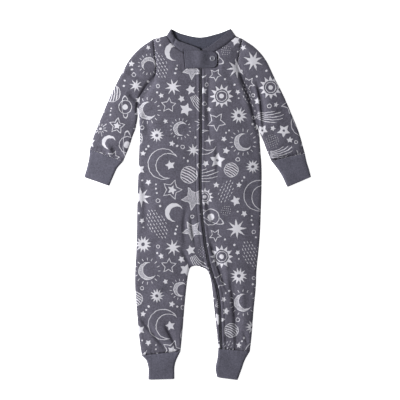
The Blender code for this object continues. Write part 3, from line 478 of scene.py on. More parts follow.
def upper_relief(points):
    """What the upper layer has over its laid height: fullness, folds, waves, seams, hem and zip.

    A soft maximum keeps it over FRONT_FLOOR: half of the sum of the height over that floor and the
    root of its square, which is a little raised.
    """
    seam = distance_from(points, ARMHOLES + NECK_SEAMS)
    cuff = distance_from(points, CUFF_SEAMS)
    outline = distance_from(points, OUTLINE)
    front_edge = np.maximum(distance_from(points, ZIP_LINE) - GROOVE / 2, 0)
    tab = under_tab(points)

    nearest = np.minimum.reduce([seam, cuff, outline, np.maximum(front_edge - HEM_STITCH, 0)])
    fullness = PUFF * (1 - bell(nearest, PUFF_WIDTH))
    loose = fullness + fold_heights(points) + wave_heights(points) * (1 - bell(nearest, 9))
    loose += gather_heights(points)
    loose -= SEAM_HOLLOW * bell(seam, SEAM_HOLLOW_WIDTH)
    loose = np.where(loose > 0, loose * (1 - tab), loose * (1 - 0.8 * tab))
    loose -= TAB_GROOVE * bell(distance_from(points, [tab_border()]), TAB_GROOVE_WIDTH)

    hem = HEM_RISE * np.sin(math.pi * np.clip(front_edge / HEM_STITCH, 0, 1)) * (1 - tab)
    hem -= HEM_SEWN * bell(front_edge - HEM_STITCH, HEM_SEWN_WIDTH)
    roll = np.clip(front_edge / HEM_ROLL, 0, 1)
    hem -= HEM_ROLL * (1 - np.sqrt(1 - (1 - roll) ** 2))
    dips = SEAM_DIP * bell(seam, SEAM_WIDTH) + CUFF_DIP * bell(cuff, SEAM_WIDTH)
    over = LAID + loose + hem - dips - FRONT_FLOOR
    return (over + np.sqrt(over * over + 0.2)) / 2 + FRONT_FLOOR - LAID


def lower_relief(points):
    """The underside is flat on the floor but for its seams, which it keeps a little off it."""
    return UNDER_RISE * bell(distance_from(points, ARMHOLES + CUFF_SEAMS), UNDER_RISE_WIDTH)


# ---------------------------------------------------------------- meshes

def lay(plan, face, edges, half, width, relief, gap=0.0):
    """Lift plan points into a laid layer, and give the directions that point out of it.

    face is 1 on the upper layer and -1 on the lower one. From an edge inwards the height follows
    a quarter ellipse, as wide as width on the upper layer and round on the lower one, and the
    relief comes in with it.
    """
    flat = plan.reshape(-1, 2)
    face = np.broadcast_to(face, plan.shape[:-1]).ravel()
    distance, away = from_edges(flat, edges)
    wide = np.where(face > 0, width, half)
    cosine = np.clip(1 - distance / wide, 0, 1)
    sine = np.sqrt(1 - cosine ** 2)
    z = half + face * np.maximum(half * sine, gap / 2) + sine * relief
    normal = np.column_stack((-away * (cosine * half)[:, None], face * sine * wide))
    normal /= np.linalg.norm(normal, axis=1)[:, None]
    shape = plan.shape[:-1] + (3,)
    return np.column_stack((flat, z)).reshape(shape), normal.reshape(shape)


def square_rim(normals, plan, cuts):
    """Turn the normals along cut rows and columns into the upright plane of that row or column."""
    for line in cuts:
        run = plan[line]
        tangent = np.gradient(run, axis=0)
        turns_back = np.linalg.norm(tangent, axis=1) < 1e-3
        tangent[turns_back] = np.diff(run, axis=0, prepend=run[:1])[turns_back]
        tangent /= np.linalg.norm(tangent, axis=1)[:, None]
        turned = normals[line].copy()
        turned[:, :2] = (turned[:, :2] * tangent).sum(1)[:, None] * tangent
        normals[line] = turned / np.linalg.norm(turned, axis=1)[:, None]


def quads(index):
    """The four-cornered faces of a grid of vertex numbers, or of a stack of grids."""
    corners = (index[..., :-1, :-1], index[..., 1:, :-1], index[..., 1:, 1:], index[..., :-1, 1:])
    return np.stack([corner.ravel() for corner in corners], axis=1)


def numbers(shape, first=0):
    """Vertex numbers of a grid."""
    return first + np.arange(shape[0] * shape[1]).reshape(shape[:2])


def ring_quads(shape):
    """The faces of a grid whose rows are closed rings."""
    index = numbers(shape)
    return quads(np.concatenate((index, index[:, :1]), axis=1))


def joined(parts):
    """The points and faces of several parts as one."""
    first = np.cumsum([0] + [len(points) for points, _ in parts])
    faces = np.concatenate([faces + start for (_, faces), start in zip(parts, first)])
    return np.concatenate([points for points, _ in parts]), faces


def add_object(name, data):
    """A new object of the scene."""
    made = bpy.data.objects.new(name, data)
    bpy.context.scene.collection.objects.link(made)
    return made


def add_mesh(name, points, faces, finishes, slot, cloth=None, finish_of_face=None, crease=40):
    """An object from points in millimetres and four-cornered faces, shaded smooth.

    cloth is each point's place on the flat cloth, kept as the UV map in metres. The faces are
    turned the right way out by the sign of the volume that they close.
    """
    points = np.asarray(points, float) * MM
    a, b, c, d = (points[faces[:, i]] for i in range(4))
    volume = (np.cross(b - a, c - a) * (a + b + c)).sum()
    volume += (np.cross(c - a, d - a) * (a + c + d)).sum()
    if volume < 0:
        faces = faces[:, ::-1]
    mesh = bpy.data.meshes.new(name)
    mesh.from_pydata(points, [], faces)
    if cloth is not None:
        layer = mesh.uv_layers.new(name="cloth")
        corners = np.zeros(len(mesh.loops), np.int32)
        mesh.loops.foreach_get("vertex_index", corners)
        layer.uv.foreach_set("vector", (cloth[corners] * MM).astype(np.float32).ravel())
    for finish in finishes:
        mesh.materials.append(finish)
    if finish_of_face is not None:
        mesh.polygons.foreach_set("material_index", finish_of_face.astype(np.int32))
    mesh.update()
    mesh.validate()
    mesh.shade_smooth()
    mesh.set_sharp_from_angle(angle=math.radians(crease))
    made = add_object(name, mesh)
    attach(made, "root")
    return made


def add_shell(name, outer, normals, faces, wall, finishes, slot, cloth):
    """A closed wall from an open outer surface: the inner one is the outer one moved against its
    normals and turned round, and a rim joins the two along each side that only one face has.

    It replaces the node that it's named after. The first finish is for the outer surface and the
    rim, the second for the inner surface.
    """
    used, renumbered = np.unique(faces, return_inverse=True)
    faces = renumbered.reshape(faces.shape)
    wall = np.broadcast_to(wall, len(outer))[used]
    outer, normals, cloth = outer[used], normals[used], cloth[used]
    count = len(outer)
    inner = outer - wall[:, None] * normals
    sides = np.concatenate([faces[:, [i, (i + 1) % 4]] for i in range(4)])
    key = np.sort(sides, axis=1) @ np.array((count, 1))
    _, first, uses = np.unique(key, return_index=True, return_counts=True)
    a, b = sides[first[uses == 1]].T
    rim = np.column_stack((b, a, a + count, b + count))
    every = np.concatenate((faces, faces[:, ::-1] + count, rim))
    finish = np.zeros(len(every))
    finish[len(faces):2 * len(faces)] = 1
    made = add_mesh(name, np.vstack((outer, inner)), every, finishes, slot,
                    np.vstack((cloth, cloth)), finish)
    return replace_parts(made, name.removesuffix("_cloth"))


def cloth_places(plan, turn=0.0, shift=(0, 0), mirror=False):
    """Places on the flat cloth: the plan turned to the grain and moved along the print."""
    c, s = math.cos(math.radians(turn)), math.sin(math.radians(turn))
    placed = plan.reshape(-1, 2) @ np.array(((c, s), (-s, c)))
    if mirror:
        placed = placed * (-1, 1)
    return placed + shift


# ---------------------------------------------------------------- shader values

class Value:
    """A socket of a material. Sums and products of it add the nodes that work them out."""

    def __init__(self, socket):
        self.socket = socket

    def node(self, kind, settings, inputs, output=0):
        """Another node of the material: its settings first, then what goes into its sockets."""
        tree = self.socket.id_data
        made = tree.nodes.new(kind)
        for key, value in settings.items():
            setattr(made, key, value)
        for key, value in inputs.items():
            if isinstance(value, Value):
                tree.links.new(value.socket, made.inputs[key])
            else:
                made.inputs[key].default_value = value
        return Value(made.outputs[output])

    def math(self, operation, *others, clamp=False):
        return self.node("ShaderNodeMath", {"operation": operation, "use_clamp": clamp},
                         dict(enumerate((self, *others))))

    def __add__(self, other):
        return self.math("ADD", other)

    def __mul__(self, other):
        return self.math("MULTIPLY", other)

    def __sub__(self, other):
        return self.math("SUBTRACT", other)

    def __truediv__(self, other):
        return self.math("DIVIDE", other)

    def __rtruediv__(self, other):
        return self.node("ShaderNodeMath", {"operation": "DIVIDE"}, {0: other, 1: self})

    def __rsub__(self, other):
        return self.math("MULTIPLY_ADD", -1.0, other)

    def __abs__(self):
        return self.math("ABSOLUTE")

    def __neg__(self):
        return self.math("MULTIPLY", -1.0)

    __radd__ = __add__
    __rmul__ = __mul__

    def vector(self, operation, *others, output=0):
        """A vector operation. Where its result is a number, the output is called Value."""
        return self.node("ShaderNodeVectorMath", {"operation": operation},
                         dict(enumerate((self, *others))), output)

    def times(self, factor):
        return self.node("ShaderNodeVectorMath", {"operation": "SCALE"}, {0: self, 3: factor})

    def length(self):
        return self.vector("LENGTH", output="Value")

    def axes(self):
        """Its parts along X, Y and Z, each a dot product with that axis."""
        return [self.vector("DOT_PRODUCT", axis, output="Value")
                for axis in ((1, 0, 0), (0, 1, 0), (0, 0, 1))]

    def noise(self, scale, detail=2.0, output=0):
        return self.node("ShaderNodeTexNoise", {},
                         {"Vector": self, "Scale": scale, "Detail": detail}, output)

    def blend(self, first, second):
        """The first colour where this is 0 and the second where it is 1."""
        return self.node("ShaderNodeMix", {"data_type": "RGBA"}, {0: self, 6: first, 7: second}, 2)


class Spot:
    """The cloth as the nearest motif of one kind sees it: its middle the origin, its tip along Y.

    Each place takes the cloth's place from its own repeat, over the motif's size, and mirrors it
    in a line at half its turn, which turns the tip there. The third part carries a thousandth of
    the size. The shortest of these vectors is kept, and spread out to the size again.
    """

    def __init__(self, cloth, places):
        width, height = TILE
        nearest = least = None
        for u, v, turn, size in places:
            repeat = cloth.vector("WRAP", (u + width / 2, v + height / 2, 1),
                                  (u - width / 2, v - height / 2, -1))
            placed = repeat.vector("MULTIPLY_ADD", (1 / size, 1 / size, 0),
                                   (-u / size, -v / size, size / 1000))
            half = math.radians(turn / 2)
            placed = placed.vector("REFLECT", (math.cos(half), math.sin(half), 0))
            away = placed.length()
            if nearest is None:
                nearest, least = placed, away
            else:
                nearer = away.math("LESS_THAN", least)
                nearest = nearer.node("ShaderNodeMix", {"data_type": "VECTOR"},
                                      {0: nearer, 4: nearest, 5: placed}, 1)
                least = least.math("MINIMUM", away)
        over, up, part = nearest.axes()
        self.size = part * 1000.0 if len(places) > 1 else places[0][3]
        self.x, self.y = over * self.size, up * self.size
        self.reach = (self.x * self.x + self.y * self.y).math("SQRT")
        self.angle = over.math("ARCTAN2", up)


# ---------------------------------------------------------------- motifs

TILE = (236.0, 300.0)       # the print repeats over this width and height
PEN = 1.1                   # width of its drawn lines


def disc(spot, radius):
    """Distance outside a circle, below nought inside it."""
    return spot.reach - radius


def line(distance, width=PEN):
    """A drawn line where the distance is nought."""
    return abs(distance) - width / 2


# Shapes are distances: the smaller of two joins them, and the larger is what they share

def both(first, second):
    return first.math("MINIMUM", second)


def without(shape, hole):
    return shape.math("MAXIMUM", -hole)


def inside(first, second):
    return first.math("MAXIMUM", second)


def pointed(spot, radius, notch, points):
    """Distance outside a star. The plane is folded onto half a point, whose side is straight."""
    half = math.pi / points
    folded = spot.angle.math("PINGPONG", half)
    out = spot.reach * folded.math("COSINE")
    aside = spot.reach * folded.math("SINE")
    slope_x = notch * math.sin(half)
    slope_y = 1 - notch * math.cos(half)
    size = math.hypot(slope_x, slope_y)
    return (out - radius) * (slope_x / size) + aside * (slope_y / size)


def rays(spot, count, first, last, width=PEN):
    """Straight strokes that point away from the middle, from one distance to another."""
    folded = spot.angle.math("PINGPONG", math.pi / count)
    aside = spot.reach * folded.math("SINE") - width / 2
    middle = (first + last) / 2
    return inside(aside, abs(spot.reach - middle) - (last - first) / 2)


# A motif takes its spot and its width, and gives a distance in millimetres that is below nought
# where there is ink

def star(spot, size):
    return pointed(spot, size / 2, 0.5, 5)


def open_star(spot, size):
    return line(pointed(spot, size / 2 - 0.6, 0.5, 5))


def double_star(spot, size):
    return both(line(pointed(spot, size / 2 - 0.6, 0.52, 5)), pointed(spot, size * 0.24, 0.5, 5))


def holed_star(spot, size):
    return without(pointed(spot, size / 2, 0.52, 5), disc(spot, size * 0.09))


def burst(spot, size):
    return pointed(spot, size / 2, 0.36, 8)


def fine_burst(spot, size):
    return without(pointed(spot, size / 2, 0.5, 12), disc(spot, size * 0.11))


def sparkle(spot, size):
    return pointed(spot, size / 2, 0.2, 4)


def flare(spot, size):
    """A small disc with strokes round it, long and short by turns."""
    long = rays(spot, 6, size * 0.2, size * 0.5)
    folded = (spot.angle + math.pi / 6).math("PINGPONG", math.pi / 6)
    aside = spot.reach * folded.math("SINE") - PEN / 2
    short = inside(aside, abs(spot.reach - size * 0.28) - size * 0.08)
    return both(both(long, short), disc(spot, size * 0.09))


def moon_shape(spot, size, bite=0.82, shift=0.36):
    """A circle with another, moved to the side, taken away."""
    away = spot.x + size / 2 * shift
    other = (away * away + spot.y * spot.y).math("SQRT") - size / 2 * bite
    return without(disc(spot, size / 2), other)


def open_moon(spot, size):
    return line(moon_shape(spot, size - 1.2))


def shining_moon(spot, size):
    """A crescent drawn in outline and filled with slanting strokes, in a ring of short ones."""
    shape = moon_shape(spot, size * 0.66)
    strokes = (spot.y - spot.x * 0.5).math("PINGPONG", 1.15) - 0.6
    filled = both(line(shape + 0.5), inside(shape, strokes))
    return both(filled, rays(spot, 16, size * 0.4, size * 0.5, 1.0))


def sun(spot, size):
    """A ring with a dot, and twelve pointed rays that start past it."""
    points = inside(pointed(spot, size / 2, 0.62, 12), size * 0.29 - spot.reach)
    return both(both(points, line(disc(spot, size * 0.22))), disc(spot, size * 0.1))


def banded_planet(spot, size):
    """A circle with bands across it that bend a little."""
    bent = spot.y + (spot.x * spot.x) * (0.35 / size)
    bands = bent.math("PINGPONG", size * 0.075) - size * 0.03
    return both(line(disc(spot, size / 2 - 0.6)), inside(bands, disc(spot, size / 2 - 1.6)))


def ringed_planet(spot, size):
    """A circle, and round it a ring seen from the side that goes behind its upper half."""
    radius = size * 0.29
    flat = spot.y * 3.4
    ring = (spot.x * spot.x + flat * flat).math("SQRT") - (size / 2 - 0.6)
    slope = ring * 0.42
    hidden = inside(disc(spot, radius + 1.1), 0.0 - spot.y)
    drawn = without(line(slope, PEN), hidden)
    return both(both(drawn, line(disc(spot, radius))), disc(spot, radius * 0.42))


def comet(spot, size):
    """A star with a tail of five arcs about one far point, which fan out away from it."""
    far, high = size * 0.95, size * 0.36
    down = high - spot.y
    head_reach = (spot.x * spot.x + down * down).math("SQRT")
    folded = spot.x.math("ARCTAN2", -down).math("PINGPONG", math.pi / 5)
    slope_x, slope_y = 0.5 * math.sin(math.pi / 5), 1 - 0.5 * math.cos(math.pi / 5)
    head = ((head_reach * folded.math("COSINE") - size * 0.16) * slope_x
            + head_reach * folded.math("SINE") * slope_y) / math.hypot(slope_x, slope_y)
    aside = spot.x + far
    across = (aside * aside + down * down).math("SQRT") - far
    run = down.math("ARCTAN2", aside) * far
    fan = run * 0.075 + 1.6
    strand = across / fan
    arcs = strand.math("PINGPONG", 0.5) * fan - PEN / 2
    ends = (strand * strand) * 0.06 * size + (run - size * 0.93)
    tail = inside(inside(arcs, ends), inside(abs(strand) - 2.4, size * 0.2 - run))
    return both(head, tail)


def hatched_star(spot, size):
    """A star drawn in outline and filled with slanting strokes."""
    shape = pointed(spot, size / 2 - 0.6, 0.48, 5)
    strokes = (spot.x * 0.86 + spot.y * 0.5).math("PINGPONG", 0.95) - 0.42
    return both(line(shape), inside(shape, strokes))


def shower(spot, size):
    """Short strokes in leaning rows, over an oval."""
    leaning = spot.y + spot.x * 0.9
    strokes = inside(spot.x.math("PINGPONG", 2.6) - 0.5, leaning.math("PINGPONG", 3.6) - 1.9)
    wide = spot.x * 1.9
    return inside(strokes, (wide * wide + spot.y * spot.y).math("SQRT") - size / 2)


def dust(spot, size):
    """Small dots in leaning rows, over a circle."""
    over = (spot.x + spot.y * 0.4).math("PINGPONG", 2.1)
    up = (spot.y - spot.x * 0.3).math("PINGPONG", 2.1)
    return inside((over * over + up * up).math("SQRT") - 0.6, disc(spot, size / 2))


def ring(spot, size):
    return line(disc(spot, size / 2 - 0.6))


def dot(spot, size):
    return disc(spot, size / 2)


# For each motif: place across and up the repeat, turn in degrees, width
MOTIFS = {
    star: [(64, 172, -1, 27), (228, 208, -19, 25), (54, 116, 25, 23), (28, 12, 16, 22),
        (142, 96, 19, 20), (82, 2, 8, 14), (158, 72, -37, 12), (120, 212, -29, 11),
        (32, 124, -25, 13), (190, 186, 19, 10), (124, 190, -14, 14), (202, 144, -14, 12),
        (148, 126, -8, 11), (46, 214, 10, 13), (50, 188, -18, 10), (220, 228, 27, 14),
        (106, 126, -5, 12), (182, 234, 14, 11), (86, 166, 32, 13), (146, 300, 34, 10),
        (50, 252, -11, 11), (92, 268, -6, 10), (199, 104, 12, 19)],
    open_star: [(106, 244, 39, 36), (196, 216, -4, 29), (104, 32, -31, 24)],
    double_star: [(202, 58, -18, 38), (56, 66, -18, 31)],
    holed_star: [(108, 172, -6, 30), (56, 232, -29, 25), (38, 268, -25, 21)],
    burst: [(144, 44, 5, 38), (204, 250, -34, 31), (6, 132, 5, 25)],
    fine_burst: [(148, 256, -17, 32), (174, 160, 29, 27)],
    sparkle: [(93, 209, 10, 20)],
    flare: [(24, 182, 16, 32), (46, 36, 11, 28)],
    moon_shape: [(206, 16, -29, 34), (76, 38, 25, 26)],
    open_moon: [(186, 106, -19, 58), (84, 206, 23, 46)],
    shining_moon: [(156, 206, 23, 50), (218, 172, -16, 40)],
    sun: [(116, 292, 0, 44), (84, 104, 25, 34)],
    banded_planet: [(234, 86, -31, 32), (134, 154, -29, 27)],
    ringed_planet: [(96, 66, -28, 52), (32, 96, -26, 42)],
    comet: [(60, 138, 60, 86), (56, 280, -6, 72), (6, 224, 13, 60)],
    ring: [(176, 38, 0, 8), (48, 202, 0, 7), (84, 278, 0, 8), (176, 252, 0, 7), (222, 138, 0, 8),
        (4, 8, 0, 7), (146, 174, 0, 8), (88, 14, 0, 7)],
    dot: [(212, 140, 0, 4), (154, 134, 0, 3.4), (174, 240, 0, 4), (26, 68, 0, 3),
        (210, 284, 0, 3.6), (172, 60, 0, 3.2), (34, 290, 0, 4), (224, 118, 0, 3.4),
        (140, 14, 0, 4), (148, 288, 0, 3), (130, 228, 0, 3.6), (32, 64, 0, 3.2), (158, 140, 0, 4),
        (174, 52, 0, 3.4), (208, 276, 0, 4), (22, 72, 0, 3), (180, 28, 0, 3.6), (172, 68, 0, 3.2),
        (10, 156, 0, 4), (146, 76, 0, 3.4), (232, 112, 0, 4), (212, 290, 0, 3), (122, 24, 0, 3.6),
        (124, 224, 0, 3.2)],
    hatched_star: [(6, 42, 26, 46), (4, 282, -40, 38)],
    shower: [(174, 294, 32, 62), (124, 114, -23, 46)],
    dust: [(28, 242, -24, 26), (124, 78, 9, 20)]}


# ---------------------------------------------------------------- finishes

def srgb(red, green, blue):
    """A colour as seen on a screen, 0 to 255, in the linear values that the shader reads."""
    shares = np.array((red, green, blue)) / 255
    linear = np.where(shares <= 0.04045, shares / 12.92, ((shares + 0.055) / 1.055) ** 2.4)
    return (*linear.tolist(), 1.0)


SLATE = (81, 79, 90)
PLAIN_SLATE = (80, 79, 91)
TRIM_SLATE = (72, 71, 82)   # neckband and chin tab
# The jersey's reverse, for every inner face: partly its own colour, and darkened further as
# painted shade for the shade inside the garment and in the neck opening
INSIDE_WITH_PAINTED_SHADE = (62, 63, 75)
INK = (196, 195, 202)


def new_material(name):
    """A material and its shader."""
    made = bpy.data.materials.new(name)
    made.use_nodes = True
    return made, made.node_tree.nodes["Principled BSDF"]


def preset(shader, values):
    """Set the values of a shader that are the same all over."""
    for name, value in values.items():
        shader.inputs[name].default_value = value


def paint(shader, colour, roughness, bump):
    """Link the varying values of a finish to its shader."""
    for name, value in (("Base Color", colour), ("Roughness", roughness), ("Normal", bump)):
        shader.id_data.links.new(value.socket, shader.inputs[name])


def cloth_of(shader):
    """The place on the flat cloth in millimetres."""
    uv = shader.id_data.nodes.new("ShaderNodeUVMap")
    uv.uv_map = "cloth"
    return Value(uv.outputs[0]).times(1000.0)


def place_of(shader):
    """The place on the object in millimetres."""
    found = shader.id_data.nodes.new("ShaderNodeTexCoord")
    return Value(found.outputs["Object"]).times(1000.0)


def shaded(shade, colour, low, high):
    """The colour times low where the shade is 0 or less, and times high where it is 1 or more."""
    dark, light = (srgb(*np.minimum(part * np.array(colour), 255)) for part in (low, high))
    return shade.math("ADD", 0.0, clamp=True).blend(dark, light)


def bumped(height, strength, distance):
    """The normals of a surface that rises by the height times the distance."""
    return height.node("ShaderNodeBump", {},
                       {"Strength": strength, "Distance": distance, "Height": height})


def knit(cloth, wale=0.9, course=0.75):
    """Height of a knit face: ribs of half sines a wale wide, crossed by courses bent into a V."""
    x, y, _ = cloth.axes()
    rib = abs((x * (math.pi / wale)).math("SINE"))
    bent = y + x.math("PINGPONG", wale / 2) * 0.9
    loop = (bent * (2 * math.pi / course)).math("SINE")
    return rib + loop * 0.35


def ink_on(cloth):
    """The print: 1 where there is ink. The pen wanders a little and its line swells and thins."""
    wander = cloth.noise(0.14, 2.0, "Color").vector("SUBTRACT", (0.5, 0.5, 0.5)).times(3.2)
    drawn = cloth.vector("ADD", wander).vector("MULTIPLY", (1, 1, 0))
    found = None
    for draw, places in MOTIFS.items():
        spot = Spot(drawn, places)
        distance = draw(spot, spot.size)
        found = distance if found is None else both(found, distance)
    swell = (cloth.noise(0.35, 1.0) - 0.5) * 0.5
    return (0.5 - (found + swell) / 0.28).math("ADD", 0.0, clamp=True)


def jersey(name, colour, printed=False, weight=1.0):
    """Cotton jersey: mottled colour, dry sheen, the knit's relief and small creases."""
    made, shader = new_material(name)
    preset(shader, {"Sheen Weight": 0.07, "Sheen Roughness": 0.45,
                    "Sheen Tint": srgb(190, 190, 205), "Specular IOR Level": 0.25})
    cloth = cloth_of(shader)
    fine = cloth.noise(0.75, 2.0)
    grain = cloth.noise(0.3, 3.0)
    broad = cloth.noise(0.045, 2.0)
    shade = (fine - 0.5) * 1.6 + (grain - 0.5) * 1.5 + (broad - 0.5) * 0.9 + 0.5
    base = shaded(shade, colour, 0.84, 1.16)
    roughness = fine * 0.12 + 0.8
    if printed:
        ink = ink_on(cloth)
        worn = ink * (0.9 + (fine - 0.5) * 0.3)
        base = worn.math("ADD", 0.0, clamp=True).blend(base, srgb(*INK))
        roughness = roughness - ink * 0.16
    creases = cloth.noise(0.11, 2.0) * 0.6 + cloth.noise(0.5, 2.0) * 0.25
    height = creases * weight + knit(cloth) * 0.09
    paint(shader, base, roughness, bumped(height, 0.7, 0.0011))
    return made


def woven(name, colour, pitch=0.7):
    """Woven zip tape: threads that cross in a small herringbone, on Object coordinates."""
    made, shader = new_material(name)
    place = place_of(shader)
    x, y, _ = place.axes()
    slant = (y + x.math("PINGPONG", 2.2) * 0.8) * (2 * math.pi / pitch)
    thread = slant.math("SINE")
    shade = (place.noise(0.9, 2.0) - 0.5) * 0.7 + thread * 0.12 + 0.5
    base = shaded(shade, colour, 0.85, 1.12)
    paint(shader, base, thread * 0.04 + 0.75, bumped(thread, 0.6, 0.0002))
    return made


def spun(name, colour, roughness=0.6, twist=0.45):
    """Sewing thread or coil plastic: a fine slanting twist on Object coordinates."""
    made, shader = new_material(name)
    place = place_of(shader)
    x, y, z = place.axes()
    ply = ((x + y + z) * (2 * math.pi / twist)).math("SINE")
    shade = (place.noise(0.7, 2.0) - 0.5) * 0.6 + ply * 0.1 + 0.5
    base = shaded(shade, colour, 0.85, 1.1)
    paint(shader, base, ply * 0.05 + roughness, bumped(ply, 0.5, 0.0001))
    return made


def metal(name, colour, roughness=0.35, metallic=0.9):
    """Painted or plated zinc: clouded gloss, fine scratches and a little wear in the colour."""
    made, shader = new_material(name)
    preset(shader, {"Metallic": metallic})
    place = place_of(shader)
    cloud = place.noise(0.5, 3.0)
    scratch = place.vector("MULTIPLY", (6.0, 0.5, 1.0)).noise(1.0, 2.0)
    shade = (cloud - 0.5) * 0.8 + 0.5
    rough = (scratch - 0.5) * 0.2 + (cloud - 0.5) * 0.1 + roughness
    paint(shader, shaded(shade, colour, 0.86, 1.08), rough, bumped(scratch, 0.25, 0.00005))
    return made


PRINTED = jersey("printed_jersey", SLATE, printed=True)
# Inner faces: the reverse finish, whose darkness is partly painted shade
REVERSE_WITH_PAINTED_SHADE = jersey("jersey_reverse_painted_shade", INSIDE_WITH_PAINTED_SHADE)
PLAIN = jersey("plain_jersey", PLAIN_SLATE, weight=0.8)
TRIM = jersey("trim_jersey", TRIM_SLATE, weight=0.8)
THREAD = spun("sewing_thread", (74, 73, 86))
COIL = spun("coil_plastic", (72, 71, 81), roughness=0.45)
TAPE = woven("woven_tape", (70, 69, 80))
ZIP_METAL = metal("slider_metal", (92, 92, 100))
SNAP_RING = metal("snap_ring", (142, 142, 151), roughness=0.5, metallic=0.5)
SNAP_CENTRE = metal("snap_centre", (98, 98, 108), roughness=0.5, metallic=0.3)


# ---------------------------------------------------------------- body panels

ARMHOLE, SLEEVE = 140.0, 175.0     # their lengths, near enough to space their rows
ROWS = np.concatenate([
    spread(np.array([ARMHOLE]), FOLDED, FOLDED)[0], np.linspace(1, 3, 108)[1:],
    np.linspace(3, 4, 33)[1:], (4.012, 4.03, 4.055, 4.08, 4.11, 4.14, 4.175, 4.21, 4.245, 4.28),
    np.linspace(4.31, 5.96, 60), (5.975, 5.988, 6)])
ARMPIT_ROW = int(np.flatnonzero(ROWS == 1)[0])
RIGHT_ARMHOLE = (np.s_[1:ARMPIT_ROW, 0], np.s_[1:ARMPIT_ROW, 1])
LEFT_ARMHOLE = (np.s_[1:ARMPIT_ROW, -1], np.s_[1:ARMPIT_ROW, -2])
ANKLE = (np.s_[-1, :], np.s_[-2, :])
JOINED = (0.0, 2.0)         # first columns where one block of a panel runs on into the next


def side_lines(rows):
    """The lines that cut each row: sides, the lines down from the neck's corners, inseams, zip."""
    legs = rows > CROTCH
    trunk = np.minimum(rows, CROTCH)
    fade = np.clip(1 - rows / NECK_FADE, 0, 1) ** 2
    middle = along(MIDDLE, trunk)
    right_inner, left_inner = middle.copy(), middle.copy()
    right_inner[legs] = along(RIGHT_INSEAM, rows[legs])
    left_inner[legs] = along(LEFT_INSEAM, rows[legs])
    right, left, zip_line = (along(each, rows) for each in (RIGHT_SIDE, LEFT_SIDE, ZIP))

    def neck_line(a, b, share, corner):
        made = a + share * (b - a)
        return made + fade[:, None] * (corner - made[0])

    right_neck = neck_line(right, right_inner, SHOULDER_SHARES[0], CORNER_RIGHT)
    left_neck = neck_line(left, zip_line, SHOULDER_SHARES[1], CORNER_LEFT)
    return right, right_neck, right_inner, left_inner, zip_line, left_neck, left, fade


def join_at_crotch(left_grid, right_grid):
    """Vertex numbers of two grids that share a column down to the crotch and part below it."""
    left_index = numbers(left_grid.shape)
    right_index = numbers(right_grid.shape, left_index.size)
    shared = ROWS <= CROTCH
    right_index[shared, 0] = left_index[shared, -1]
    return np.concatenate((quads(left_index), quads(right_index)))


def add_body_piece(name, grids, face, cuts, arm_columns, shift):
    """A front or back from one grid, or from two that part at the crotch."""
    faces = quads(numbers(grids[0].shape))
    if len(grids) == 2:
        faces = join_at_crotch(*grids)
    points, normals, cloth = [], [], []
    relief = upper_relief if face > 0 else lower_relief
    for grid, lines, column in zip(grids, cuts, arm_columns):
        flat = grid.reshape(-1, 2)
        placed, facing = lay(grid, face, OUTLINE, LAID / 2, ROUND, relief(flat), GAP)
        square_rim(facing, grid, lines)
        if column is not None:
            around = facing[ARMPIT_ROW - 1, column] + facing[ARMPIT_ROW + 1, column]
            around[2] = 0
            facing[ARMPIT_ROW, column] = around / np.linalg.norm(around)
        points.append(placed.reshape(-1, 3))
        normals.append(facing.reshape(-1, 3))
        cloth.append(cloth_places(flat, shift=shift, mirror=face < 0))
    points, normals, cloth = (np.concatenate(each) for each in (points, normals, cloth))
    add_shell(name, points, normals, faces, WALL, (PRINTED, REVERSE_WITH_PAINTED_SHADE), "print_jersey", cloth)


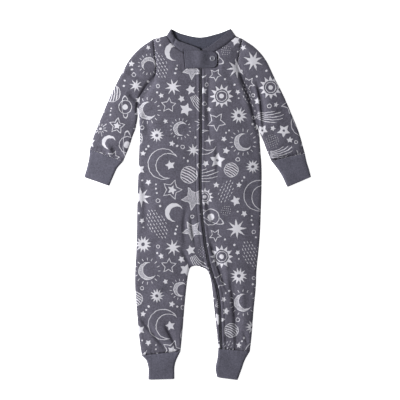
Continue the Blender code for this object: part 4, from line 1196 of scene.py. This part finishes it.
def make_body():
    """Both fronts and the back, and the neck seams that the band is sewn to."""
    right, right_neck, right_inner, left_inner, zip_line, left_neck, left, fade = side_lines(ROWS)
    zip_right, zip_left = zip_line - (GROOVE / 2, 0), zip_line + (GROOVE / 2, 0)

    def strip(a, b, top, first, last):
        return block(a, b, top, spread(lengths(a, b), first, last), fade)

    outer_right = strip(right, right_neck, straight(right[0], CORNER_RIGHT), FOLDED, JOINED)
    inner_right = strip(right_neck, right_inner, piece_of(NECK_FRONT_RIGHT, 0, NECK_MIDDLE),
                        JOINED, FOLDED)
    crotch_strip = strip(left_inner, zip_right,
                         piece_of(NECK_FRONT_RIGHT, NECK_MIDDLE, 1 - ZIP_SHARE), FOLDED, FOLDED)
    right_front = np.concatenate((outer_right, inner_right[:, 1:]), axis=1)
    shoulder = outer_right.shape[1] - 1
    right_seam = np.concatenate((right_front[0, shoulder:], crotch_strip[0, 1:]))
    right_neckline = np.s_[0, shoulder + 1:], np.s_[1, shoulder + 1:]
    draw_back(right_front, RIGHT_ARMHOLE, ANKLE, right_neckline)
    draw_back(crotch_strip, ANKLE, (np.s_[0, :], np.s_[1, :]))
    neck, ankle = np.s_[0, shoulder:], np.s_[-1, :]
    zip_side, arm = np.s_[:, -1], np.s_[:ARMPIT_ROW, 0]
    add_body_piece(
        "front_right_cloth", [right_front, crotch_strip], 1,
        [(neck, ankle, arm), (np.s_[0, :], ankle, zip_side)], (0, None), (14, 31))

    inner_left = strip(zip_left, left_neck, piece_of(NECK_FRONT_LEFT, ZIP_SHARE, 1), FOLDED,
                       JOINED)
    outer_left = strip(left_neck, left, straight(CORNER_LEFT, left[0]), JOINED, FOLDED)
    left_front = np.concatenate((inner_left, outer_left[:, 1:]), axis=1)
    left_seam = inner_left[0].copy()
    last = outer_left.shape[1] - 1
    left_neckline = np.s_[0, :-last - 1], np.s_[1, :-last - 1]
    draw_back(left_front, LEFT_ARMHOLE, ANKLE, left_neckline)
    add_body_piece(
        "front_left_cloth", [left_front], 1,
        [(np.s_[0, :-last], ankle, np.s_[:, 0], np.s_[:ARMPIT_ROW, -1])], (-1,), (71, 90))

    back_right = strip(right_neck, right_inner, piece_of(NECK_BACK, 0, BACK_MIDDLE), JOINED,
                       FOLDED)
    back_middle = strip(left_inner, left_neck, piece_of(NECK_BACK, BACK_MIDDLE, 1), FOLDED, JOINED)
    back_one = np.concatenate((outer_right, back_right[:, 1:]), axis=1)
    back_two = np.concatenate((back_middle, outer_left[:, 1:]), axis=1)
    back_seam = np.concatenate((back_right[0], back_middle[0, 1:]))
    draw_back(back_one, RIGHT_ARMHOLE, ANKLE, right_neckline)
    draw_back(back_two, LEFT_ARMHOLE, ANKLE, left_neckline)
    add_body_piece(
        "back_cloth", [back_one, back_two], -1,
        [(neck, ankle, arm), (np.s_[0, :-last], ankle, np.s_[:ARMPIT_ROW, -1])], (0, -1),
        (120, 40))
    return right_seam, back_seam, left_seam


# ---------------------------------------------------------------- sleeves and cuffs

def rounded_end(distance, wall):
    """How far a doubled edge has sunk at a distance from its fold, and how thick it is there.

    Its cross-section is a half circle of the wall's thickness.
    """
    share = np.clip(1 - distance / (wall / 2), 0, 1)
    sine = np.sqrt(1 - share * share)
    return wall / 2 * (1 - sine), np.maximum(wall * sine, THIN)


def add_tube(name, outer, inner, places, start, fade, half, width, reliefs, wall, finishes, slot,
             turn, shift, open_end=None):
    """A flattened tube between places of two lines, its first ring bent to the curve called start.

    The upper layer runs across from the outer line to the inner one, and the lower one back. The
    lower layer's place on the cloth is the upper one's turned over about the outer line. open_end
    is each row's distance from a folded open end, where the tube has one.
    """
    first, second = along(outer, places), along(inner, places)
    is_right = first[-1, 0] < second[-1, 0]
    edges = [edge(outer, 0, 1, is_right), edge(inner, 0, 1, not is_right)]
    upper = block(first, second, start, spread(lengths(first, second), FOLDED, FOLDED), fade)
    cuts = [(np.s_[0, :], np.s_[1, :])]
    if open_end is None:
        cuts.append(ANKLE)
    draw_back(upper, *cuts)
    ring_plan = np.concatenate((upper, upper[:, -2:0:-1]), axis=1)
    face = np.ones(ring_plan.shape[:2])
    face[:, upper.shape[1]:] = -1
    flat = ring_plan.reshape(-1, 2)
    relief = np.where(face.ravel() > 0, reliefs[0](flat), reliefs[1](flat))
    points, normals = lay(ring_plan, face, edges, half, width, relief)
    square_rim(normals, ring_plan, (np.s_[0, :], np.s_[-1, :]))
    points, normals = points.reshape(-1, 3), normals.reshape(-1, 3)
    if open_end is not None:
        sunk, wall = rounded_end(np.repeat(open_end, ring_plan.shape[1]), wall)
        points -= sunk[:, None] * normals
    cloth = cloth_places(ring_plan, turn)
    axis = cloth.reshape(ring_plan.shape)[:, 0, 0].mean()
    cloth[:, 0] = np.where(face.ravel() > 0, cloth[:, 0], 2 * axis - cloth[:, 0])
    add_shell(name, points, normals, ring_quads(ring_plan.shape), wall, finishes, slot,
              cloth + shift)


def make_sleeve(name, armhole, outer, inner, turn, shift):
    """A set-in sleeve from its armhole to its cuff seam."""
    places = spread(np.array([SLEEVE]), SEWN, SEWN)[0]
    fade = np.clip(1 - places / CAP_FADE, 0, 1) ** 2
    add_tube(name, outer, inner, places, piece_of(armhole, 0, 1), fade, LAID / 2, ROUND,
             (upper_relief, lower_relief), WALL, (PRINTED, REVERSE_WITH_PAINTED_SHADE), "print_jersey", turn, shift)


def cuff_relief(points):
    """A cuff's fullness between its edges, the gathers it takes up, and the dip at its seam."""
    seam = distance_from(points, CUFF_SEAMS)
    loose = CUFF_PUFF * (1 - bell(seam, CUFF_PUFF_WIDTH)) + 0.5 * wave_heights(points)
    gathers = gather_heights(points, CUFF_GATHER, CUFF_GATHER_REACH)
    return loose + gathers - CUFF_SEAM_DIP * bell(seam, SEAM_WIDTH)


def make_cuff(name, outer, inner, shift):
    """A doubled cuff, a short tube from its seam to its folded open end."""
    length = lengths(along(outer, 0), along(outer, 1))
    places = spread(length, SEWN, FOLDED)[0]
    seam = straight(along(outer, 0)[0], along(inner, 0)[0])
    add_tube(name, outer, inner, places, seam, np.zeros(len(places)), CUFF_LAID / 2, CUFF_ROUND,
             (cuff_relief, lower_relief), CUFF_WALL, (PLAIN, PLAIN), "plain_jersey", 0.0, shift,
             (1 - places) * length)


# ---------------------------------------------------------------- neckband

BAND_SHARES = np.array((0, 0.05, 0.12, 0.22, 0.34, 0.46, 0.58, 0.7, 0.8, 0.88, 0.94, 0.975, 1))
BAND_ROUND = 4.0
BAND_ARCH = 0.55            # its rise between its seam and its free edge
BAND_LIFT = 1.4             # its free edge lies higher than its seam
BAND_SEAM_DIP = 0.9
BAND_GATHER, BAND_GATHER_LENGTH, BAND_GATHER_REACH = 0.16, 6.3, 4
BAND_TAB_DIP = 1.8          # that the tab's edge presses into it
# The fold across it on the right shoulder
BAND_CREASE = np.array(((-49.7, 329.5), (-41.3, 309), (-46, 297.7)))
BAND_CREASE_DIP, BAND_CREASE_WIDTH = 1.9, 2.0


def band_grid(seam, free):
    """Plan points across the band, from the seam to the free edge, at each station."""
    run = run_of(seam)
    low, high = seam, along(free, run / run[-1])
    low = low + GAP / 2 * (high - low) / lengths(low, high)[:, None]
    return low[:, None] + BAND_SHARES[None, :, None] * (high - low)[:, None]


def make_neckband(right_seam, back_seam, left_seam):
    """One doubled strip that lies on itself, turned over along the folds on the shoulders.

    It runs from the zip over the right front, along the back and over the left front to the zip.
    Across it, it arches between the seam and the fold of its free edge, which is a half circle.
    """
    right = band_grid(right_seam, FREE_FRONT_RIGHT)[::-1]
    back = band_grid(back_seam, FREE_BACK)[1:-1]
    left = band_grid(left_seam, FREE_FRONT_LEFT)
    plan = np.concatenate((right, back, left[::-1]))
    face = np.concatenate([np.full(grid.shape[:2], side)
                           for grid, side in ((right, 1), (back, -1), (left, 1))])
    flat = plan.reshape(-1, 2)
    width = np.linalg.norm(plan[:, -1] - plan[:, 0], axis=1)[:, None]
    across = width * BAND_SHARES
    arch = BAND_ARCH * np.sin(math.pi * BAND_SHARES ** 0.8)
    arch = arch - BAND_SEAM_DIP * bell(across, SEAM_WIDTH)
    ripple = np.sin(np.arange(len(plan))[:, None] * STEP * 2 * math.pi / BAND_GATHER_LENGTH)
    gathers = BAND_GATHER * ripple * bell(across, BAND_GATHER_REACH)
    relief = (arch + gathers + BAND_LIFT * BAND_SHARES ** 2).ravel()
    relief -= BAND_CREASE_DIP * bell(distance_from(flat, [BAND_CREASE]), BAND_CREASE_WIDTH)
    relief -= BAND_TAB_DIP * bell(distance_from(flat, [tab_border()]), TAB_GROOVE_WIDTH)
    relief = np.where(face.ravel() > 0, relief + 0.3 * wave_heights(flat), 0.0)
    points, normals = lay(plan, face, [right[-1][::-1], left[-1]], LAID / 2, BAND_ROUND, relief)
    first, last = len(right), len(plan) - len(left)
    square_rim(normals, plan, (
        np.s_[0, :], np.s_[-1, :],
        np.s_[:first - 1, 0], np.s_[first - 1:last + 1, 0], np.s_[last + 1:, 0]))
    sunk, wall = rounded_end((width - across).ravel(), BAND_WALL)
    points = points.reshape(-1, 3) - sunk[:, None] * normals.reshape(-1, 3)
    run = run_of(plan[:, 0])
    cloth = np.dstack(np.broadcast_arrays(across, run[:, None])).reshape(-1, 2)
    # The back's upward face in the neck opening takes the reverse finish, which is darker by
    # painted shade
    add_shell("neckband_cloth", points, normals.reshape(-1, 3), quads(numbers(plan.shape)), wall,
              (TRIM, REVERSE_WITH_PAINTED_SHADE), "plain_jersey", cloth)


# ---------------------------------------------------------------- chin tab and snap

def tab_foot(points):
    """Height of the tab's underside: just over the cloth, and lifted over the slider and pull."""
    beside_zip = (points[..., 0] - TAB_ZIP) / TAB_LIFT_WIDTH
    up = np.clip((points[..., 1] - TAB_LIFT_FROM) / TAB_LIFT_RUN, 0, 1)
    return LAID + TAB_CLEAR + TAB_LIFT * np.exp(-beside_zip ** 2) * up * up * (3 - 2 * up)


def tab_plan(x, across):
    """Places on the tab: x along it and across it from -1 to 1, narrowing, with a round end."""
    share = (x - TAB_LEFT) / (TAB_RIGHT - TAB_LEFT)
    bend = np.clip((x - (TAB_RIGHT - TAB_CORNER)) / TAB_CORNER, 0, 1)
    half = (TAB_HALF[0] + share * (TAB_HALF[1] - TAB_HALF[0])
            - TAB_CORNER * (1 - np.sqrt(1 - bend ** 2)))
    middle = TAB_MIDDLE + share * TAB_SLANT
    lean = -TAB_LEAN * across[None, :] * (1 - share[:, None])
    return np.dstack((x[:, None] + lean, middle[:, None] + half[:, None] * across))


TAB_STATIONS = np.concatenate((
    TAB_LEFT + np.array((0, 0.15, 0.35, 0.7, 1.2)),
    np.linspace(TAB_LEFT + 2, TAB_RIGHT - TAB_CORNER, 34),
    TAB_RIGHT - TAB_CORNER * (1 - np.sin(np.radians(np.linspace(4, 89, 22))))))
TAB_ACROSS = np.concatenate((
    (-1, -0.99, -0.975, -0.95, -0.92), np.linspace(-0.87, 0.87, 25), (0.92, 0.95, 0.975, 0.99, 1)))


def tab_border():
    """The tab's outline as a closed polyline with the tab on its left."""
    plan = tab_plan(TAB_STATIONS, TAB_ACROSS)
    return np.concatenate((plan[:, 0], plan[-1, 1:], plan[-2::-1, -1], plan[0, -2::-1]))


def tab_height(points):
    """Top of the tab: over its foot by its thickness, with its stitch line drawn in."""
    past = distance_from(points, [tab_border()]) - TAB_STITCH
    sewn = -TAB_SEWN * bell(past, TAB_SEWN_WIDTH)
    pillow = TAB_PILLOW * (1 - bell(np.maximum(past, 0), TAB_PILLOW_WIDTH))
    pillow += 0.12 * wave_heights(points * 2.3)
    ripple = np.sin(points[:, 0] * 1.25 + points[:, 1] * 0.9)
    puckers = TAB_PUCKER * ripple * bell(past, TAB_PUCKER_WIDTH)
    near_snap = np.hypot(points[:, 0] - SNAP_X, points[:, 1] - SNAP_Y)
    flat = 1 - np.clip(1.6 - near_snap / 6, 0, 1)
    return tab_foot(points) + TAB_WALL + sewn + (pillow + puckers) * flat


def make_chin_tab():
    """The doubled tab: its top from tab_height, rounded off at its border down to its foot."""
    plan = tab_plan(TAB_STATIONS, TAB_ACROSS)
    flat = plan.reshape(-1, 2)
    sunk, wall = rounded_end(distance_from(flat, [tab_border()]), TAB_WALL)
    points = np.column_stack((flat, tab_height(flat) - sunk))
    up = np.tile((0.0, 0.0, 1.0), (len(flat), 1))
    wall = np.maximum(np.minimum(wall, points[:, 2] - tab_foot(flat)), THIN)
    add_shell("chin_tab_cloth", points, up, quads(numbers(plan.shape)), wall, (TRIM, TRIM),
              "plain_jersey", flat[:, ::-1] + (40, 5))


def turned(profile, x, y, foot, sides=48):
    """A profile of radii and heights carried round an upright axis."""
    radius, height = np.array(profile, float).T
    turn = np.arange(sides) * 2 * math.pi / sides
    grid = np.dstack((x + radius[:, None] * np.cos(turn), y + radius[:, None] * np.sin(turn),
                      np.broadcast_to(foot + height[:, None], (len(radius), sides))))
    return grid.reshape(-1, 3), ring_quads(grid.shape)


# Radii and heights of the snap's ring and of the disc in its middle
SNAP_RIM = (
    (3.0, 0.15), (3.05, 0.75), (3.2, 1.05), (3.5, 1.22), (3.9, 1.27), (4.3, 1.18), (4.62, 0.95),
    (4.78, 0.6), (4.8, 0.25), (4.7, 0.05), (3.2, 0.0), (3.0, 0.15))
SNAP_DISH = (
    (0.01, 0.42), (0.7, 0.44), (1.4, 0.5), (2.1, 0.6), (2.7, 0.7), (2.96, 0.66), (2.96, 0.1),
    (0.01, 0.1))


def make_snap():
    """The snap's ring cap with rounded rims, and the dished disc of cloth in its middle."""
    foot = LAID + TAB_CLEAR + TAB_WALL + 0.05
    points, faces = turned(SNAP_RIM, SNAP_X, SNAP_Y, foot)
    ring_cap = add_mesh("snap_ring", points, faces, (SNAP_RING,), "snap_metal", crease=60)
    points, faces = turned(SNAP_DISH, SNAP_X, SNAP_Y, foot)
    add_mesh("snap_centre", points, faces, (SNAP_CENTRE,), "snap_metal")
    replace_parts(ring_cap, "snap_cap")


# ---------------------------------------------------------------- coil and stitches

def frames_along(path):
    """Unit directions square to a path of points: to its left in plan, and up."""
    ahead = np.gradient(path, axis=0)
    ahead /= np.linalg.norm(ahead, axis=1)[:, None]
    left = np.column_stack((-ahead[:, 1], ahead[:, 0], np.zeros(len(path))))
    left /= np.linalg.norm(left, axis=1)[:, None]
    return left, np.cross(ahead, left)


def tube_along(path, radius, sides):
    """A round wire along a path: circles of the radius, square to it."""
    left, up = frames_along(path)
    turn = np.arange(sides) * 2 * math.pi / sides
    grid = path[:, None] + radius * (
        left[:, None] * np.cos(turn)[None, :, None] + up[:, None] * np.sin(turn)[None, :, None])
    return grid.reshape(-1, 3), ring_quads(grid.shape)


def height_at(points):
    """Height of the upper layer's face at plan points."""
    placed, _ = lay(points[None], 1, OUTLINE, LAID / 2, ROUND, upper_relief(points), GAP)
    return placed[0, :, 2]


COIL_PITCH = 1.35           # from one loop of a strand to the next
COIL_STEPS = 8              # points on each loop
COIL_WIRE = 0.36            # radius of its wire
COIL_MIDDLE = 4.7           # height of the strands' middle, where the cloth's top is at COIL_CLOTH
COIL_CLOTH = 4.6
COIL_SAG = (-0.35, 0.15)    # how far the strands may follow the cloth down and up
STRAND_ASIDE = 0.62         # from the zip's middle to a strand's
STRAND_HALF = (0.95, 0.82)  # half its width and half its height


def make_coil():
    """Two strands of the closed coil, each a wire that goes round in flat loops beside the other.

    A strand's place across the zip is a cosine of the run and its height a sine, so that it is a
    helix with an oval section; the other strand is half a turn behind and on the other side.
    """
    centre = edge(ZIP, -0.12, 5.98, steps=900)
    place = np.arange(0, run_of(centre)[-1], COIL_PITCH / COIL_STEPS)
    line_points = on_polyline(centre, place)
    path = np.column_stack((line_points, np.full(len(place), COIL_MIDDLE)))
    some = np.s_[::40]
    sag = np.interp(place, place[some], np.clip(
        height_at(line_points[some]) - COIL_CLOTH, *COIL_SAG))
    left, up = frames_along(path)
    strands = []
    for side, lag in ((1, 0.0), (-1, math.pi)):
        turn = place * 2 * math.pi / COIL_PITCH + lag
        across = side * STRAND_ASIDE + STRAND_HALF[0] * np.cos(turn)
        high = STRAND_HALF[1] * np.sin(turn) * side + sag
        wire = path + left * across[:, None] + up * high[:, None]
        strands.append(tube_along(wire, COIL_WIRE, 5))
    made = add_mesh("coil_strands", *joined(strands), (COIL,), "zip_coil", crease=80)
    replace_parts(made, "zip_coil")


def stitches(path, length=2.5, space=0.7, radius=0.19):
    """Rows of sewn thread: short rods with rounded ends, which dip into the cloth there."""
    run = run_of(path)
    middles = np.arange(length / 2 + space, run[-1] - length / 2, length + space)
    share = np.array((-1, -0.93, -0.7, -0.25, 0.25, 0.7, 0.93, 1))
    at = middles[:, None] + share * length / 2
    rod = np.stack([np.interp(at, run, axis) for axis in path.T], axis=2)
    rod[..., 2] -= 0.17 * share ** 4
    thick = radius * np.sqrt(np.clip(1.02 - share ** 6, 0.05, 1))
    count, rings, sides = len(middles), len(share), 6
    ahead = rod[:, -1] - rod[:, 0]
    ahead /= np.linalg.norm(ahead, axis=1)[:, None]
    left = np.cross((0.0, 0.0, 1.0), ahead)
    left /= np.linalg.norm(left, axis=1)[:, None]
    up = np.cross(ahead, left)
    turn = np.arange(sides) * 2 * math.pi / sides
    circle = (left[:, None, None] * np.cos(turn)[:, None]
              + up[:, None, None] * np.sin(turn)[:, None])
    grid = rod[:, :, None] + thick[None, :, None, None] * circle
    index = np.arange(count * rings * sides).reshape(count, rings, sides)
    return grid.reshape(-1, 3), quads(np.concatenate((index, index[..., :1]), axis=-1))


def on_cloth(plan, height, over=0.12):
    """A plan polyline at even steps, lifted onto the cloth and a little into it."""
    points = on_polyline(plan, np.arange(0, run_of(plan)[-1], 0.8))
    return np.column_stack((points, height(points) + over))


def make_stitches(name, paths, **sizes):
    """One object of all the stitches along some paths."""
    rows = [stitches(path, **sizes) for path in paths]
    add_mesh(name, *joined(rows), (THREAD,), "plain_jersey", crease=70)


def make_all_stitches():
    """Rows along both hems beside the zip, and round the chin tab."""
    hem = GROOVE / 2 + HEM_STITCH
    middle = edge(ZIP, 0.03, 5.97, steps=400)
    rows = beside(middle, -hem)[::-1], beside(middle, hem)
    make_stitches("zip_stitches", [on_cloth(row, height_at, 0.1) for row in rows])
    round_tab = on_cloth(beside(tab_border(), TAB_STITCH), tab_height, 0.05)
    make_stitches("tab_stitches", [round_tab], length=2.3, radius=0.17)


# ---------------------------------------------------------------- putting it together

def make_garment():
    """Every piece, and the finishes of the nodes that stay as they are."""
    neck_seams = make_body()
    make_sleeve("sleeve_right_cloth", RIGHT_SIDE, RIGHT_SLEEVE_OUT, RIGHT_SLEEVE_IN, 62.0,
                (20, 130))
    make_sleeve("sleeve_left_cloth", LEFT_SIDE, LEFT_SLEEVE_OUT, LEFT_SLEEVE_IN, -62.0, (95, 10))
    for i, (name, (outer, inner)) in enumerate(CUFFS.items()):
        make_cuff(name + "_cloth", outer, inner, (i * 31, i * 17))
    make_neckband(*neck_seams)
    make_chin_tab()
    make_snap()
    make_coil()
    make_all_stitches()
    for node, finish in (("zip_tape", TAPE), ("zip_slider", ZIP_METAL), ("zip_pull", ZIP_METAL)):
        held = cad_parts[node]
        held.data.materials.clear()
        held.data.materials.append(finish)


make_garment()


# ---------------------------------------------------------------- floor, light and camera

FLOOR_HALF, FLOOR_Z = 4, -0.0003        # in metres
# Each lamp shines at the garment's middle: name, place and size in metres, power in watts
LAMPS = (("key", (-1.45, 0.4, 0.95), 0.5, 62.0), ("fill", (1.2, -0.6, 2.2), 1.4, 4.0))


def make_stage():
    """A white floor just under the garment, a key light low on its left and a weak fill."""
    floor_mesh = bpy.data.meshes.new("floor")
    corners = [(x * FLOOR_HALF, y * FLOOR_HALF, FLOOR_Z)
               for x, y in ((-1, -1), (1, -1), (1, 1), (-1, 1))]
    floor_mesh.from_pydata(corners, [], [(0, 1, 2, 3)])
    floor = add_object("floor", floor_mesh)
    finish, shader = new_material("floor_paper")
    preset(shader, {"Base Color": (0.93, 0.93, 0.93, 1), "Roughness": 0.9,
                    "Specular IOR Level": 0.1, "Emission Color": (1, 1, 1, 1),
                    "Emission Strength": 0.85})
    floor_mesh.materials.append(finish)

    world = bpy.data.worlds.new("studio")
    world.use_nodes = True
    preset(world.node_tree.nodes["Background"], {"Color": (1, 1, 1, 1), "Strength": 0.2})
    bpy.context.scene.world = world

    for name, place, size, power in LAMPS:
        light = bpy.data.lights.new(name, "AREA")
        light.shape = "DISK"
        light.size = size
        light.energy = power
        lamp = add_object(name, light)
        lamp.location = place
        aim = -np.array(place)
        lamp.rotation_euler = (math.acos(-aim[2] / np.linalg.norm(aim)), 0,
                               math.atan2(-aim[0], aim[1]))


make_stage()

lens = bpy.data.cameras.new("camera")
lens.sensor_width = 36.0
lens.lens = 105.6
camera = add_object("camera", lens)
camera.location = (0.0045, 0.0079, 2.2)     # straight over the garment
bpy.context.scene.camera = camera
bpy.context.scene.view_settings.view_transform = "Standard"
